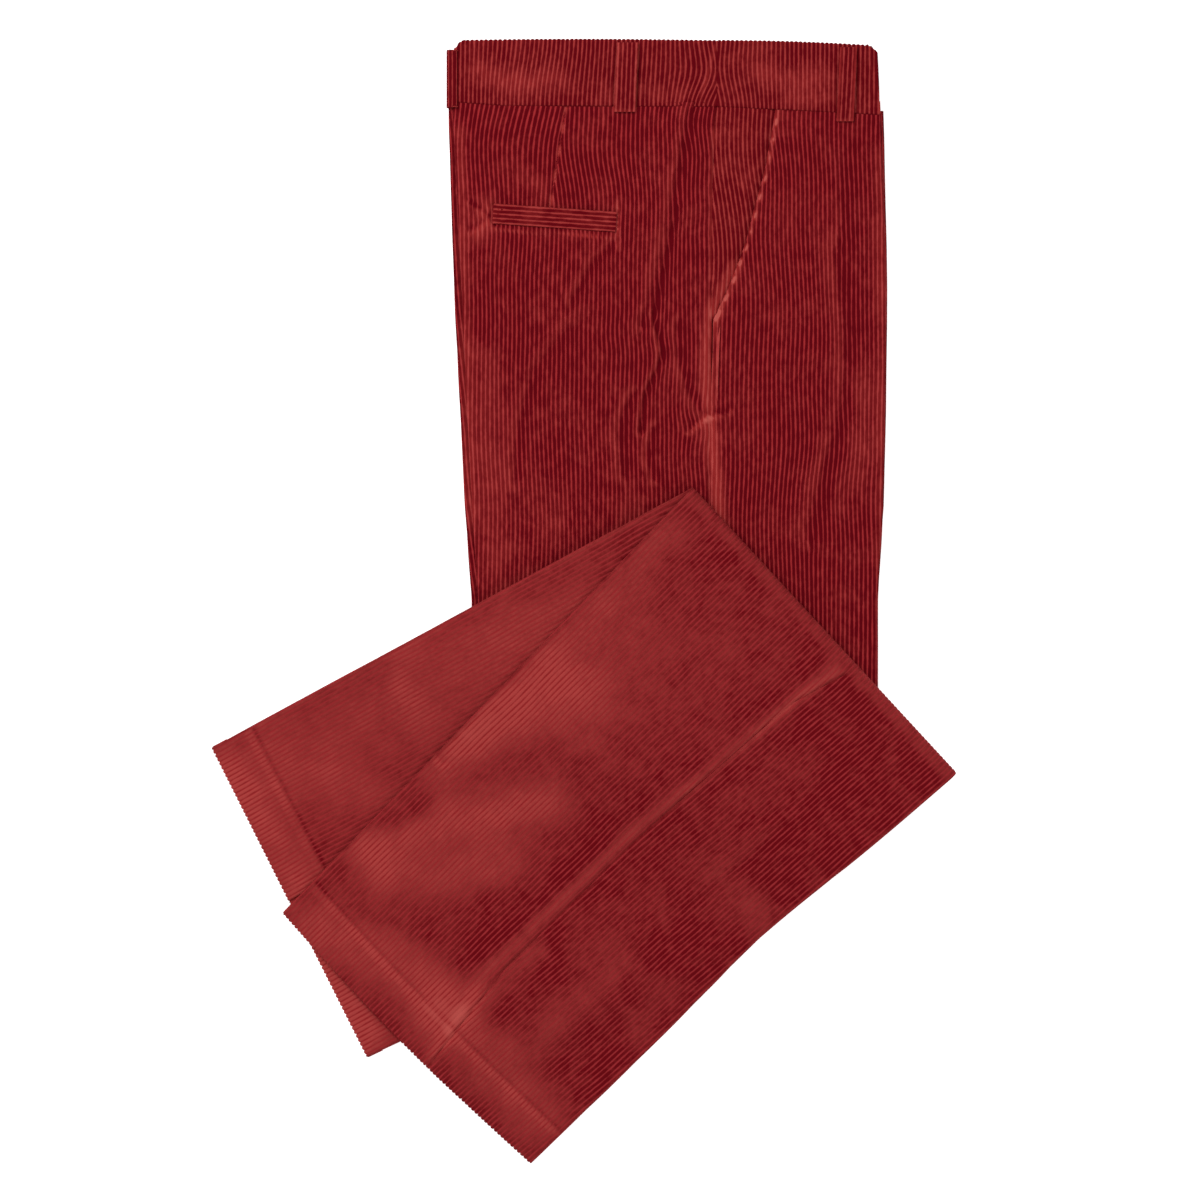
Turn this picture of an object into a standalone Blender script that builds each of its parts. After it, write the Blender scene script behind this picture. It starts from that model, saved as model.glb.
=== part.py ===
"""Corduroy trousers, folded twice and laid flat.

The trousers lie on their left side, pressed along the centre front and back, so
the wearer's right side is on top: back panel at -X, front panel at +X, the side
seam between them.  Both legs turn up over the knees along the first fold and
come back down along the second one, the right leg over the left leg, which is
fanned out under it.  That makes twelve layers of cloth where everything
overlaps.  +Y runs from the hems to the waist, +Z is up, and the origin is the
middle of the footprint on the surface that the cloth rests on.

Sizes are in millimetres and become metres in put_wall().
"""
import math

import bmesh
import bpy
from mathutils import Vector

MM = 0.001

# Cloth and layers
CLOTH = 1.5            # wall of one layer
GAP = 0.3              # air between two layers, or at a seam
LAYER = CLOTH + GAP
BAND = 3.0             # waistband, cloth and its own turned-in inside
LOOP = 1.5             # belt loop
FOLD_REACH = 6.5       # how far an outer layer swings past a fold line
ARC_STEPS = 6          # facets round a fold

# Layer numbers from the surface up, where everything overlaps
BODY_LEFT, BODY_INNER, BODY_RIGHT = 0, 1, 3
BACK_RIGHT, BACK_INNER, BACK_LEFT = 4, 5, 7
LEFT_LEG_LOW = 8

# Seat and thighs, a row for each height: y at the back edge, side seam and front
# edge, then x of each line.  "under" edges belong to the left half, below.
BODY_COLUMNS = ("y_back", "y_seam", "y_front", "under_back", "top_back", "seam",
                "pocket", "top_front", "under_front")
BODY_ROWS = (
    (372.0, 368.2, 362.0, -101.2, -98.0, 97.8, 142.5, 219.0, 221.8),
    (345.0, 345.0, 345.0, -100.5, -96.8, 96.5, 138.8, 220.0, 222.4),
    (318.0, 318.0, 318.0, -99.7, -95.4, 95.2, 133.6, 220.8, 223.0),
    (294.0, 294.0, 294.0, -99.0, -94.2, 94.4, 126.9, 221.8, 223.6),
    (265.0, 265.0, 265.0, -98.2, -92.6, 94.1, 119.5, 222.8, 224.3),
    (234.0, 234.0, 234.0, -97.0, -91.4, 94.0, 107.7, 223.4, 224.7),
    (208.0, 208.0, 208.0, -95.9, -90.2, 93.9, 95.6, 223.4, 224.6),
    (140.0, 140.0, 140.0, -92.4, -87.2, 93.4, 93.7, 222.6, 223.8),
    (72.0, 72.0, 72.0, -89.0, -83.6, 93.0, 93.3, 221.0, 222.2),
    (2.0, 2.0, 2.0, -84.0, -79.0, 92.4, 92.7, 216.8, 217.9),
)
POCKET_ROWS = 7                    # rows that the slant pocket mouth crosses
BAND_TOP = {"back": (-92.6, 415.6), "seam": (98.6, 415.9), "front": (217.2, 412.2)}
BAND_CORNER = 6.0                  # rounding of the band's two top corners
BAND_HEIGHT = 46.0
BAND_ROWS = (0.0, 0.35, 0.7)       # rows up the band, as shares of its height
BAND_LAST = 0.97                   # the row inside the rounded corner
BAND_SPREAD = 3.0                  # how far the lower band sticks out past the upper
SIDE_LIFT = 1.8                    # the waist lies on the loops below it
LIFT_END = 318.0                   # height where the left half is down again
LIFT_LENGTH = 27.0                 # how long it takes
CROTCH = 144.0                     # the inner halves of the legs start here

# First fold, back edge to front edge of the left half
FOLD1 = ((-81.0, -35.5), (215.7, -170.2))
# Second fold, of the right leg and of the left leg inside it
TURN = (80.3, 85.1)
FOLD2 = (TURN, (275.7, -126.5))
FOLD2_LEFT = (TURN, (240.9, -146.5))

# Lower legs: share of the length, back edge, front edge
RIGHT_LEG = (
    (0.00, FOLD2[0], FOLD2[1]),
    (0.45, (-56.2, -56.4), (131.3, -252.3)),
    (1.00, (-223.1, -229.4), (-38.9, -415.9)),
)
LEFT_LEG = (
    (0.00, FOLD2_LEFT[0], FOLD2_LEFT[1]),
    (1.00, (-275.7, -107.3), (-160.2, -337.4)),
)
RIGHT_LEG_LENGTH = 437.0           # from the second fold to the hem
LEFT_LEG_LENGTH = 404.0
LEG_STEPS = 28
LEG_COLUMNS_EACH = 5
BACK_SHARE = (0.0, 0.4995)         # a leg's back panel, as shares of the row across it
FRONT_SHARE = (0.5005, 1.0)

# Shares of the first fold: half the side seam's gap, and the upper half's inset ends
SEAM_SHARE = 0.0005
FOLD_INSET = 0.004
INSIDE_SEAT = (60.0, 200.0)        # a point on the seat's side of the first fold
FLAP = 4.0                         # how far a leg runs on past the first fold's line
PANEL_COLUMNS = 3

# Side slopes, where the legs leave the stack and reach the surface
STACK_SLOPE = (10.0, 100.0)        # start beyond the stack, length
BODY_SLOPE = (7.0, 50.0)
LEG_SLOPE = (34.0, 34.0)
FLAT_SLACK = 0.3                   # extra air between the two legs past the stack
SLOPE_SLACK = 0.5                  # and more of it on the slope
SLACK_RATES = (40.0, 8.0)          # how fast the slack comes in at each end of the slope
RESTING = 0.01                     # lower than this, a leg lies on the surface itself

# Back welt pocket, its middle on the right back panel
WELT_CENTRE = (-22.2, 284.8)
WELT_SIZE = (91.0, 14.2)
WELT_TILT = -3.9
WELT_PROUD = 0.5

FACING_DIP = 0.8                   # how far the pocket facing drops at the mouth
SLOT_TOP = 12.0                    # the welt slots' cutter, over the right panel
SLOT_LOW = -2.0
SLOT_DROP = 7.5                    # and lower for the left panel

# Belt loops: middle at the top and at the lower end, width
LOOP_COLUMNS = ("name", "top", "end", "width")
LOOPS = (
    ("back", (31.9, 414.0), (29.9, 363.4), 14.6),
    ("front", (195.6, 410.6), (193.0, 356.4), 11.6),
)
LOOP_STEPS = 6
LOOP_ARCH = 1.6                    # how far a loop stands off in the middle
CB_LOOP_WIDTH = 9.0
CB_LOOP = (409.0, 366.4)           # top and lower end of the centre back loop
CB_SHOULDER = 0.7                  # its rounded shoulders, as a share of its thickness
CB_STRAIGHT = 1.0                  # where its straight side starts
CB_CLEAR = 0.05

CORD_RED = (0.30, 0.018, 0.016, 1.0)
SHADE_RED = (0.22, 0.012, 0.012, 1.0)


def clear_scene():
    """Remove every object that the file opens with."""
    for old in list(bpy.data.objects):
        bpy.data.objects.remove(old, do_unlink=True)


def cloth_material(name, colour):
    """A matt corduroy finish of the part's own."""
    material = bpy.data.materials.new(name)
    material.use_nodes = True
    shader = material.node_tree.nodes["Principled BSDF"]
    shader.inputs["Base Color"].default_value = colour
    shader.inputs["Roughness"].default_value = 0.85
    shader.inputs["Metallic"].default_value = 0.0
    return material


def level(number):
    """Height of a layer's underside in the full stack."""
    return number * LAYER


def between(a, b, share):
    """The point, of any number of coordinates, a share of the way from a to b."""
    return tuple(p + (q - p) * share for p, q in zip(a, b))


def smooth(value):
    """Ease from 0 to 1."""
    value = min(1.0, max(0.0, value))
    return value * value * (3.0 - 2.0 * value)


def outside(point, outline):
    """How far a point lies beyond a convex outline; negative inside it."""
    area = sum(a[0] * b[1] - b[0] * a[1] for a, b in zip(outline, outline[1:] + outline[:1]))
    side = 1.0 if area > 0 else -1.0
    reach = -1.0e9
    for a, b in zip(outline, outline[1:] + outline[:1]):
        run = math.hypot(b[0] - a[0], b[1] - a[1])
        away = ((b[1] - a[1]) * (point[0] - a[0]) - (b[0] - a[0]) * (point[1] - a[1])) / run
        reach = max(reach, away * side)
    return reach


def fall(point, outline, slope):
    """1 on and near an outline, easing to 0 along a slope beyond it."""
    start, length = slope
    return 1.0 - smooth((outside(point, outline) - start) / length)


STACK = [FOLD1[0], FOLD2[0], FOLD2[1], FOLD1[1]]
BODY = [(-92.6, 414.0), (217.2, 411.0), (224.6, 234.0), (222.2, 72.0), FOLD1[1],
        FOLD1[0], (-89.0, 72.0), (-98.2, 265.0)]
LEFT_SHAPE = [LEFT_LEG[0][1], LEFT_LEG[0][2], LEFT_LEG[1][2], LEFT_LEG[1][1]]


def left_leg_floor(point):
    """Underside of the left lower leg."""
    stack = (level(LEFT_LEG_LOW) - GAP) * fall(point, STACK, STACK_SLOPE)
    body = (level(BACK_RIGHT) - GAP) * fall(point, BODY, BODY_SLOPE)
    rest = max(stack, body)
    return rest + (GAP if rest > RESTING else 0.0)


def right_leg_floor(point):
    """Underside of the right lower leg, on the left leg or beside it."""
    stack = (level(BACK_LEFT) - GAP) * fall(point, STACK, STACK_SLOPE)
    body = (level(BACK_RIGHT) - GAP) * fall(point, BODY, BODY_SLOPE)
    alone = max(stack, body)
    alone += GAP if alone > RESTING else 0.0
    share = fall(point, LEFT_SHAPE, LEG_SLOPE)
    drop = fall(point, STACK, STACK_SLOPE)
    on_slope = SLOPE_SLACK * smooth(SLACK_RATES[0] * drop)
    slack = (FLAT_SLACK + on_slope) * smooth(SLACK_RATES[1] * (1.0 - drop))
    return share * (left_leg_floor(point) + 2.0 * LAYER + slack) + (1.0 - share) * alone


def put_wall(name, outer, inner, colour=CORD_RED):
    """Make one closed wall from two grids of points, its two faces.

    outer and inner are lists of rows, and each row is a list of (x, y, z).
    """
    rows, columns = len(outer), len(outer[0])
    points = [p for grid in (outer, inner) for row in grid for p in row]
    half = rows * columns

    def at(face, i, j):
        return face * half + i * columns + j

    faces = []
    for i in range(rows - 1):
        for j in range(columns - 1):
            faces.append((at(0, i, j), at(0, i + 1, j), at(0, i + 1, j + 1), at(0, i, j + 1)))
            faces.append((at(1, i, j), at(1, i, j + 1), at(1, i + 1, j + 1), at(1, i + 1, j)))
        for j in (0, columns - 1):
            faces.append((at(0, i, j), at(1, i, j), at(1, i + 1, j), at(0, i + 1, j)))
    for j in range(columns - 1):
        for i in (0, rows - 1):
            faces.append((at(0, i, j), at(0, i, j + 1), at(1, i, j + 1), at(1, i, j)))
    mesh = bpy.data.meshes.new(name)
    mesh.from_pydata([Vector(p) * MM for p in points], [], faces)
    work = bmesh.new()
    work.from_mesh(mesh)
    bmesh.ops.recalc_face_normals(work, faces=work.faces)
    bmesh.ops.triangulate(work, faces=work.faces)
    work.to_mesh(mesh)
    work.free()
    mesh.materials.append(cloth_material(name + "_cloth", colour))
    piece = bpy.data.objects.new(name, mesh)
    bpy.context.scene.collection.objects.link(piece)
    return piece


def across(left, right, columns):
    """Points evenly spaced from a left point to a right point."""
    return [between(left, right, j / columns) for j in range(columns + 1)]


def row_of(line, columns, height):
    """A row of points on a line, at a height or at height(point)."""
    rule = height if callable(height) else (lambda point: height)
    return [(p[0], p[1], rule(p)) for p in across(line[0], line[1], columns)]


def fold_rows(line, columns, toward, low, high, reach, steps=ARC_STEPS):
    """Rows round a fold, from its low side to its high side.

    low and high are heights, or rules of the point; the rows swing out from
    the line along toward by reach.
    """
    low_rule = low if callable(low) else (lambda point: low)
    high_rule = high if callable(high) else (lambda point: high)
    rows = []
    for k in range(steps + 1):
        turn = math.pi * k / steps
        row = []
        for x, y in across(line[0], line[1], columns):
            bottom, top = low_rule((x, y)), high_rule((x, y))
            swing = reach * math.sin(turn)
            height = (top + bottom) / 2.0 - (top - bottom) / 2.0 * math.cos(turn)
            row.append((x + toward[0] * swing, y + toward[1] * swing, height))
        rows.append(row)
    return rows


def normal_of(line, inside):
    """Unit vector across a line, away from a point inside the cloth."""
    dx, dy = line[1][0] - line[0][0], line[1][1] - line[0][1]
    run = math.hypot(dx, dy)
    away = (-dy / run, dx / run)
    side = (line[0][0] - inside[0]) * away[0] + (line[0][1] - inside[1]) * away[1]
    return away if side > 0 else (-away[0], -away[1])


def shifted(line, toward, distance):
    """A line moved sideways."""
    return tuple((p[0] + toward[0] * distance, p[1] + toward[1] * distance) for p in line)


def part_of(line, first, last):
    """The stretch of a line between two shares of its length."""
    return between(line[0], line[1], first), between(line[0], line[1], last)


def body_row(row, left, right, inset_left=0.0, inset_right=0.0):
    """A body row's stretch between two of its named lines."""
    named = dict(zip(BODY_COLUMNS, row))
    height = {"under_back": "y_back", "top_back": "y_back", "seam": "y_seam",
              "pocket": "y_seam", "top_front": "y_front", "under_front": "y_front"}
    a = [named[left] + inset_left, named[height[left]]]
    b = [named[right] - inset_right, named[height[right]]]
    if left == "pocket":
        spread = (named["pocket"] - named["seam"]) / (named["top_front"] - named["seam"])
        a[1] = named["y_seam"] + (named["y_front"] - named["y_seam"]) * spread
    if right == "pocket":
        spread = (named["pocket"] - named["seam"]) / (named["top_front"] - named["seam"])
        b[1] = named["y_seam"] + (named["y_front"] - named["y_seam"]) * spread
    return tuple(a), tuple(b)


def seam_share(line):
    """Where the side seam crosses the first fold, as a share of it."""
    seam_x = BODY_ROWS[-1][BODY_COLUMNS.index("seam")]
    return (seam_x - line[0][0]) / (line[1][0] - line[0][0])


def right_height(y):
    """Underside of the right half of the seat and thighs."""
    rise = SIDE_LIFT + 2.0 * BAND + GAP - CLOTH - level(BODY_RIGHT)
    return level(BODY_RIGHT) + rise * smooth((y - LIFT_END) / LIFT_LENGTH)


def left_height(y):
    """Underside of the left half, which rises on to its belt loops at the waist."""
    return SIDE_LIFT * smooth((y - LIFT_END) / LIFT_LENGTH)


def make_left_half():
    """Left back and front panels: the underside, then round the first fold."""
    toward = normal_of(FOLD1, INSIDE_SEAT)
    split = seam_share(FOLD1)
    outer_reach, inner_reach = FOLD_REACH, FOLD_REACH - CLOTH
    for name, left, right, first, last in (
            ("left_back_panel", "under_back", "seam", 0.0, split - SEAM_SHARE),
            ("left_front_panel", "pocket", "under_front", split + SEAM_SHARE, 1.0)):
        columns = PANEL_COLUMNS
        outer, inner = [], []
        for row in BODY_ROWS:
            line = body_row(row, left, right,
                            GAP / 2 if left == "pocket" else 0.0,
                            GAP / 2 if right == "seam" else 0.0)
            outer.append(row_of(line, columns, lambda p: left_height(p[1])))
            inner.append(row_of(line, columns, lambda p: left_height(p[1]) + CLOTH))
        fold = part_of(FOLD1, first, last)
        low, high = level(BODY_LEFT), level(BACK_LEFT)
        outer += fold_rows(fold, columns, toward, low, high + CLOTH, outer_reach)
        inner += fold_rows(fold, columns, toward, low + CLOTH, high, inner_reach)
        turn = part_of(shifted(FOLD2_LEFT, normal_of(FOLD2_LEFT, FOLD1[0]), -FOLD_REACH),
                       first, last)
        outer.append(row_of(turn, columns, high + CLOTH))
        inner.append(row_of(turn, columns, high))
        put_wall(name, outer, inner)


def make_hidden_layers():
    """The inner halves of both legs, one rounded solid round the first fold."""
    toward = normal_of(FOLD1, INSIDE_SEAT)
    thick = 2.0 * CLOTH + GAP
    outer_reach = FOLD_REACH - CLOTH - GAP
    low, high = level(BODY_INNER), level(BACK_INNER)
    named = [dict(zip(BODY_COLUMNS, row)) for row in BODY_ROWS if row[0] < CROTCH]
    columns = 6
    outer, inner = [], []
    for row in named:
        line = ((row["top_back"], row["y_back"]), (row["top_front"], row["y_front"]))
        outer.append(row_of(line, columns, low))
        inner.append(row_of(line, columns, low + thick))
    outer += fold_rows(FOLD1, columns, toward, low, high + thick, outer_reach)
    inner += fold_rows(FOLD1, columns, toward, low + thick, high, outer_reach - thick)
    turn = shifted(FOLD2, normal_of(FOLD2, FOLD1[0]), -FOLD_REACH - 0.5)
    outer.append(row_of(turn, columns, high + thick))
    inner.append(row_of(turn, columns, high))
    put_wall("hidden_layers", outer, inner, SHADE_RED)


def make_right_half():
    """Right back and front panels, on top, as far as the first fold."""
    split = seam_share(FOLD1)
    for name, left, right, first, last in (
            ("right_back_panel", "top_back", "seam", FOLD_INSET, split - SEAM_SHARE),
            ("right_front_panel", "pocket", "top_front", split + SEAM_SHARE, 1.0 - FOLD_INSET)):
        columns = PANEL_COLUMNS
        outer, inner = [], []
        for row in BODY_ROWS:
            line = body_row(row, left, right,
                            GAP / 2 if left == "pocket" else 0.0,
                            GAP / 2 if right == "seam" else 0.0)
            outer.append(row_of(line, columns, lambda p: right_height(p[1]) + CLOTH))
            inner.append(row_of(line, columns, lambda p: right_height(p[1])))
        fold = part_of(FOLD1, first, last)
        outer.append(row_of(fold, columns, level(BODY_RIGHT) + CLOTH))
        inner.append(row_of(fold, columns, level(BODY_RIGHT)))
        put_wall(name, outer, inner)


def make_pocket_facings():
    """The cloth seen inside the slant pocket mouths, on both sides."""
    for side in ("right", "left"):
        outer, inner = [], []
        for row in BODY_ROWS[:POCKET_ROWS]:
            line = body_row(row, "seam", "pocket", GAP / 2, GAP / 2)
            start, end = line[0][0], line[1][0]

            def base(p, start=start, end=end):
                share = (p[0] - start) / (end - start)
                if side == "right":
                    return right_height(p[1]) - FACING_DIP * share
                return left_height(p[1]) + FACING_DIP * share

            outer.append(row_of(line, 2, lambda p: base(p) + CLOTH))
            inner.append(row_of(line, 2, base))
        put_wall(side + "_pocket_facing", outer, inner)


def top_leg_row(table, share, first, last):
    """A row across a lower leg: its back to front stretch at a share of the length."""
    for upper, lower in zip(table, table[1:]):
        if share <= lower[0] + 1e-9:
            part = (share - upper[0]) / (lower[0] - upper[0])
            line = (between(upper[1], lower[1], part), between(upper[2], lower[2], part))
            return part_of(line, first, last)
    return part_of(table[-1][1:], first, last)


def leg_rows(table, first, last, columns, height, start=0.0):
    """Rows of a lower leg from just past its fold to the hem."""
    rows = []
    for k in range(1, LEG_STEPS + 1):
        share = start + (1.0 - start) * k / LEG_STEPS
        rows.append(row_of(top_leg_row(table, share, first, last), columns, height))
    return rows


def make_right_leg():
    """Right lower leg on top: back and front panels round the second fold."""
    toward = normal_of(FOLD2, FOLD1[0])
    centre = shifted(FOLD2, toward, -FOLD_REACH)
    start = FOLD_REACH / RIGHT_LEG_LENGTH
    for name, first, last in (("right_back_leg", *BACK_SHARE), ("right_front_leg", *FRONT_SHARE)):
        columns = LEG_COLUMNS_EACH
        low = level(BACK_RIGHT)
        under = part_of(shifted(FOLD1, normal_of(FOLD1, INSIDE_SEAT), -FLAP), first, last)
        fold = part_of(centre, first, last)
        outer = [row_of(under, columns, low)]
        inner = [row_of(under, columns, low + CLOTH)]
        outer += fold_rows(fold, columns, toward, low,
                           lambda p: right_leg_floor(p) + LAYER + CLOTH, FOLD_REACH)
        inner += fold_rows(fold, columns, toward, low + CLOTH,
                           lambda p: right_leg_floor(p) + LAYER, FOLD_REACH - CLOTH)
        outer += leg_rows(RIGHT_LEG, first, last, columns,
                          lambda p: right_leg_floor(p) + LAYER + CLOTH, start)
        inner += leg_rows(RIGHT_LEG, first, last, columns,
                          lambda p: right_leg_floor(p) + LAYER, start)
        put_wall(name, outer, inner)
    columns = 2 * LEG_COLUMNS_EACH
    fold = shifted(FOLD2, toward, -FOLD_REACH)
    low = level(BACK_INNER)
    outer = fold_rows(fold, columns, toward, low,
                      lambda p: right_leg_floor(p) + CLOTH, FOLD_REACH - LAYER)
    inner = fold_rows(fold, columns, toward, low + CLOTH, right_leg_floor,
                      FOLD_REACH - LAYER - CLOTH)
    outer += leg_rows(RIGHT_LEG, 0.0, 1.0, columns,
                      lambda p: right_leg_floor(p) + CLOTH, start)
    inner += leg_rows(RIGHT_LEG, 0.0, 1.0, columns, right_leg_floor, start)
    put_wall("right_leg_inner_half", outer, inner)


def make_left_leg():
    """Left lower leg, fanned out under the right one."""
    toward = normal_of(FOLD2_LEFT, FOLD1[0])
    centre = shifted(FOLD2_LEFT, toward, -FOLD_REACH)
    start = FOLD_REACH / LEFT_LEG_LENGTH
    for name, first, last, lift, columns in (
            ("left_back_leg", *BACK_SHARE, LAYER, LEG_COLUMNS_EACH),
            ("left_front_leg", *FRONT_SHARE, LAYER, LEG_COLUMNS_EACH),
            ("left_leg_outer_half", 0.0, 1.0, 0.0, 2 * LEG_COLUMNS_EACH)):
        fold = part_of(centre, first, last)
        outer = [row_of(fold, columns, lambda p: left_leg_floor(p) + lift + CLOTH)]
        inner = [row_of(fold, columns, lambda p: left_leg_floor(p) + lift)]
        outer += leg_rows(LEFT_LEG, first, last, columns,
                          lambda p: left_leg_floor(p) + lift + CLOTH, start)
        inner += leg_rows(LEFT_LEG, first, last, columns,
                          lambda p: left_leg_floor(p) + lift, start)
        put_wall(name, outer, inner)


def make_waistband():
    """Two layers of band, a back and a front length in each, meeting at the side."""
    top = BODY_ROWS[0]
    named = dict(zip(BODY_COLUMNS, top))
    seam = (named["seam"], named["y_seam"] + GAP)
    for side, base, spread in (("right", SIDE_LIFT + BAND + GAP, 0.0), ("left", SIDE_LIFT, BAND_SPREAD)):
        ends = {"back": (named["top_back"] - spread, named["y_back"] + GAP),
                "front": (named["top_front"] + spread, named["y_front"] + GAP)}
        for name, turn in (("back", -1.0), ("front", 1.0)):
            corner = BAND_TOP[name]
            corner = (corner[0] + turn * spread, corner[1])
            low = (ends[name], (seam[0] + turn * GAP / 2, seam[1]))
            high = (corner, (BAND_TOP["seam"][0] + turn * GAP / 2, BAND_TOP["seam"][1]))
            rows = []
            for share in (*BAND_ROWS, 1.0 - BAND_CORNER / BAND_HEIGHT, BAND_LAST, 1.0):
                line = between(low[0], high[0], share), between(low[1], high[1], share)
                cut = BAND_CORNER * (1.0 - math.sqrt(max(0.0, 1.0 - max(
                    0.0, (share - 1.0) * BAND_HEIGHT / BAND_CORNER + 1.0) ** 2)))
                rows.append(((line[0][0] - turn * cut, line[0][1]), line[1]))
            outer = [row_of(line, 3, base + BAND) for line in rows]
            inner = [row_of(line, 3, base) for line in rows]
            put_wall("waistband_" + side + "_" + name, outer, inner)


def make_belt_loops():
    """Loops over the band on both sides, and one round the centre back edge."""
    for entry in LOOPS:
        loop = dict(zip(LOOP_COLUMNS, entry))
        for side in ("right", "left"):
            outer, inner = [], []
            for k in range(LOOP_STEPS + 1):
                share = k / LOOP_STEPS
                x, y = between(loop["top"], loop["end"], share)
                arch = LOOP_ARCH * math.sin(math.pi * share)
                line = ((x - loop["width"] / 2, y), (x + loop["width"] / 2, y))
                if side == "right":
                    base = SIDE_LIFT + 2.0 * BAND + 2.0 * GAP + arch
                else:
                    base = 0.0
                outer.append(row_of(line, 2, base + LOOP))
                inner.append(row_of(line, 2, base))
            put_wall("belt_loop_" + side + "_" + loop["name"], outer, inner)
    edge = BODY_ROWS[0][BODY_COLUMNS.index("under_back")] - GAP
    top, low = SIDE_LIFT + 2.0 * BAND + 2.0 * GAP, 0.0
    outer, inner = [], []
    for grid, rise, reach in ((outer, LOOP, LOOP), (inner, 0.0, 0.0)):
        for x, z in ((edge + CB_LOOP_WIDTH, top + rise), (edge, top + rise),
                     (edge - reach * CB_SHOULDER, top + rise * CB_SHOULDER),
                     (edge - reach - CB_CLEAR, top - CB_STRAIGHT),
                     (edge - reach - CB_CLEAR, LOOP + CB_STRAIGHT),
                     (edge - reach * CB_SHOULDER, LOOP - rise * CB_SHOULDER),
                     (edge, LOOP - rise), (edge + CB_LOOP_WIDTH, LOOP - rise)):
            grid.append([(x, CB_LOOP[0] + (CB_LOOP[1] - CB_LOOP[0]) * j / 2.0, z)
                         for j in range(3)])
    put_wall("belt_loop_centre_back", outer, inner)


def welt_corners(grow):
    """The four corners of the welt, grown by a margin."""
    turn = math.radians(WELT_TILT)
    corners = []
    for across_it, up_it in ((-1, -1), (1, -1), (1, 1), (-1, 1)):
        x = across_it * (WELT_SIZE[0] / 2 + grow)
        y = up_it * (WELT_SIZE[1] / 2 + grow)
        corners.append((WELT_CENTRE[0] + x * math.cos(turn) - y * math.sin(turn),
                        WELT_CENTRE[1] + x * math.sin(turn) + y * math.cos(turn)))
    return corners


def make_welts():
    """A welt in each back panel, set in its own slot."""
    for side in ("right", "left"):
        panel = bpy.data.objects[side + "_back_panel"]
        slot = welt_corners(GAP)
        cutter = put_wall(side + "_welt_slot",
                          [[(*slot[3], SLOT_TOP), (*slot[2], SLOT_TOP)],
                           [(*slot[0], SLOT_TOP), (*slot[1], SLOT_TOP)]],
                          [[(*slot[3], SLOT_LOW), (*slot[2], SLOT_LOW)],
                           [(*slot[0], SLOT_LOW), (*slot[1], SLOT_LOW)]])
        if side == "left":
            cutter.location.z = -SLOT_DROP * MM
        cutter.hide_render = True
        cutter.display_type = "WIRE"
        cut = panel.modifiers.new("welt_slot", "BOOLEAN")
        cut.operation = "DIFFERENCE"
        cut.solver = "EXACT"
        cut.object = cutter
        welt = welt_corners(0.0)
        if side == "right":
            low, high = level(BODY_RIGHT), level(BODY_RIGHT) + CLOTH + WELT_PROUD
        else:
            low, high = 0.0, CLOTH + WELT_PROUD
        outer = [row_of((welt[3], welt[2]), 2, high), row_of((welt[0], welt[1]), 2, high)]
        inner = [row_of((welt[3], welt[2]), 2, low), row_of((welt[0], welt[1]), 2, low)]
        put_wall(side + "_back_welt", outer, inner)


def main():
    """Build every piece, from the surface up."""
    clear_scene()
    make_left_half()
    make_hidden_layers()
    make_right_half()
    make_pocket_facings()
    make_waistband()
    make_belt_loops()
    make_welts()
    make_left_leg()
    make_right_leg()


main()
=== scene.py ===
"""Looks of the folded corduroy trousers: the cloth of every piece, its finish, and the studio."""
import logging
import math
from dataclasses import dataclass, field
from enum import Enum
from typing import Callable, Optional, Sequence

import bpy
import numpy as np
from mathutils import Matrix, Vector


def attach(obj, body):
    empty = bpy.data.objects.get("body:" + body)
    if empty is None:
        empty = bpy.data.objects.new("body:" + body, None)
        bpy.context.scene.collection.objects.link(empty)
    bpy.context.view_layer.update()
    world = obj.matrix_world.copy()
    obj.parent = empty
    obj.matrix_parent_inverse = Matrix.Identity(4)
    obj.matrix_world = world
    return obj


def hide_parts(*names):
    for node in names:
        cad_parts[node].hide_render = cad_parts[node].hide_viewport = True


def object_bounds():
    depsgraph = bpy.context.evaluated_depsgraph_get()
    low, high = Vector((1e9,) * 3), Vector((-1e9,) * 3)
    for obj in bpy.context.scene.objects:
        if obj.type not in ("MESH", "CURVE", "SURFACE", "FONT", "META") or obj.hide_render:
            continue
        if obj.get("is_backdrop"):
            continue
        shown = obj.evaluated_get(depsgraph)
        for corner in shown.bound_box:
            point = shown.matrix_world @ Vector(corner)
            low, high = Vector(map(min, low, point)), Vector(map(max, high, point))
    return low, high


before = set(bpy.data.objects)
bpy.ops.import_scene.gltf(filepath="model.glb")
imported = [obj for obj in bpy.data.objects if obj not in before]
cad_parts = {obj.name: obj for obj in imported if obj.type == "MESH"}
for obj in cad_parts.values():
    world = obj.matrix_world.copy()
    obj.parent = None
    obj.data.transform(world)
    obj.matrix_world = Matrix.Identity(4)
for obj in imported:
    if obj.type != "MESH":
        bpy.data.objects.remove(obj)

LOG = logging.getLogger("trousers")
MM = 0.001
Array = np.ndarray
Point = tuple[float, float]
Line = tuple[Point, Point]
Rule = Callable[[Array, Array], Array]
Feed = bpy.types.NodeSocket | float | tuple

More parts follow.
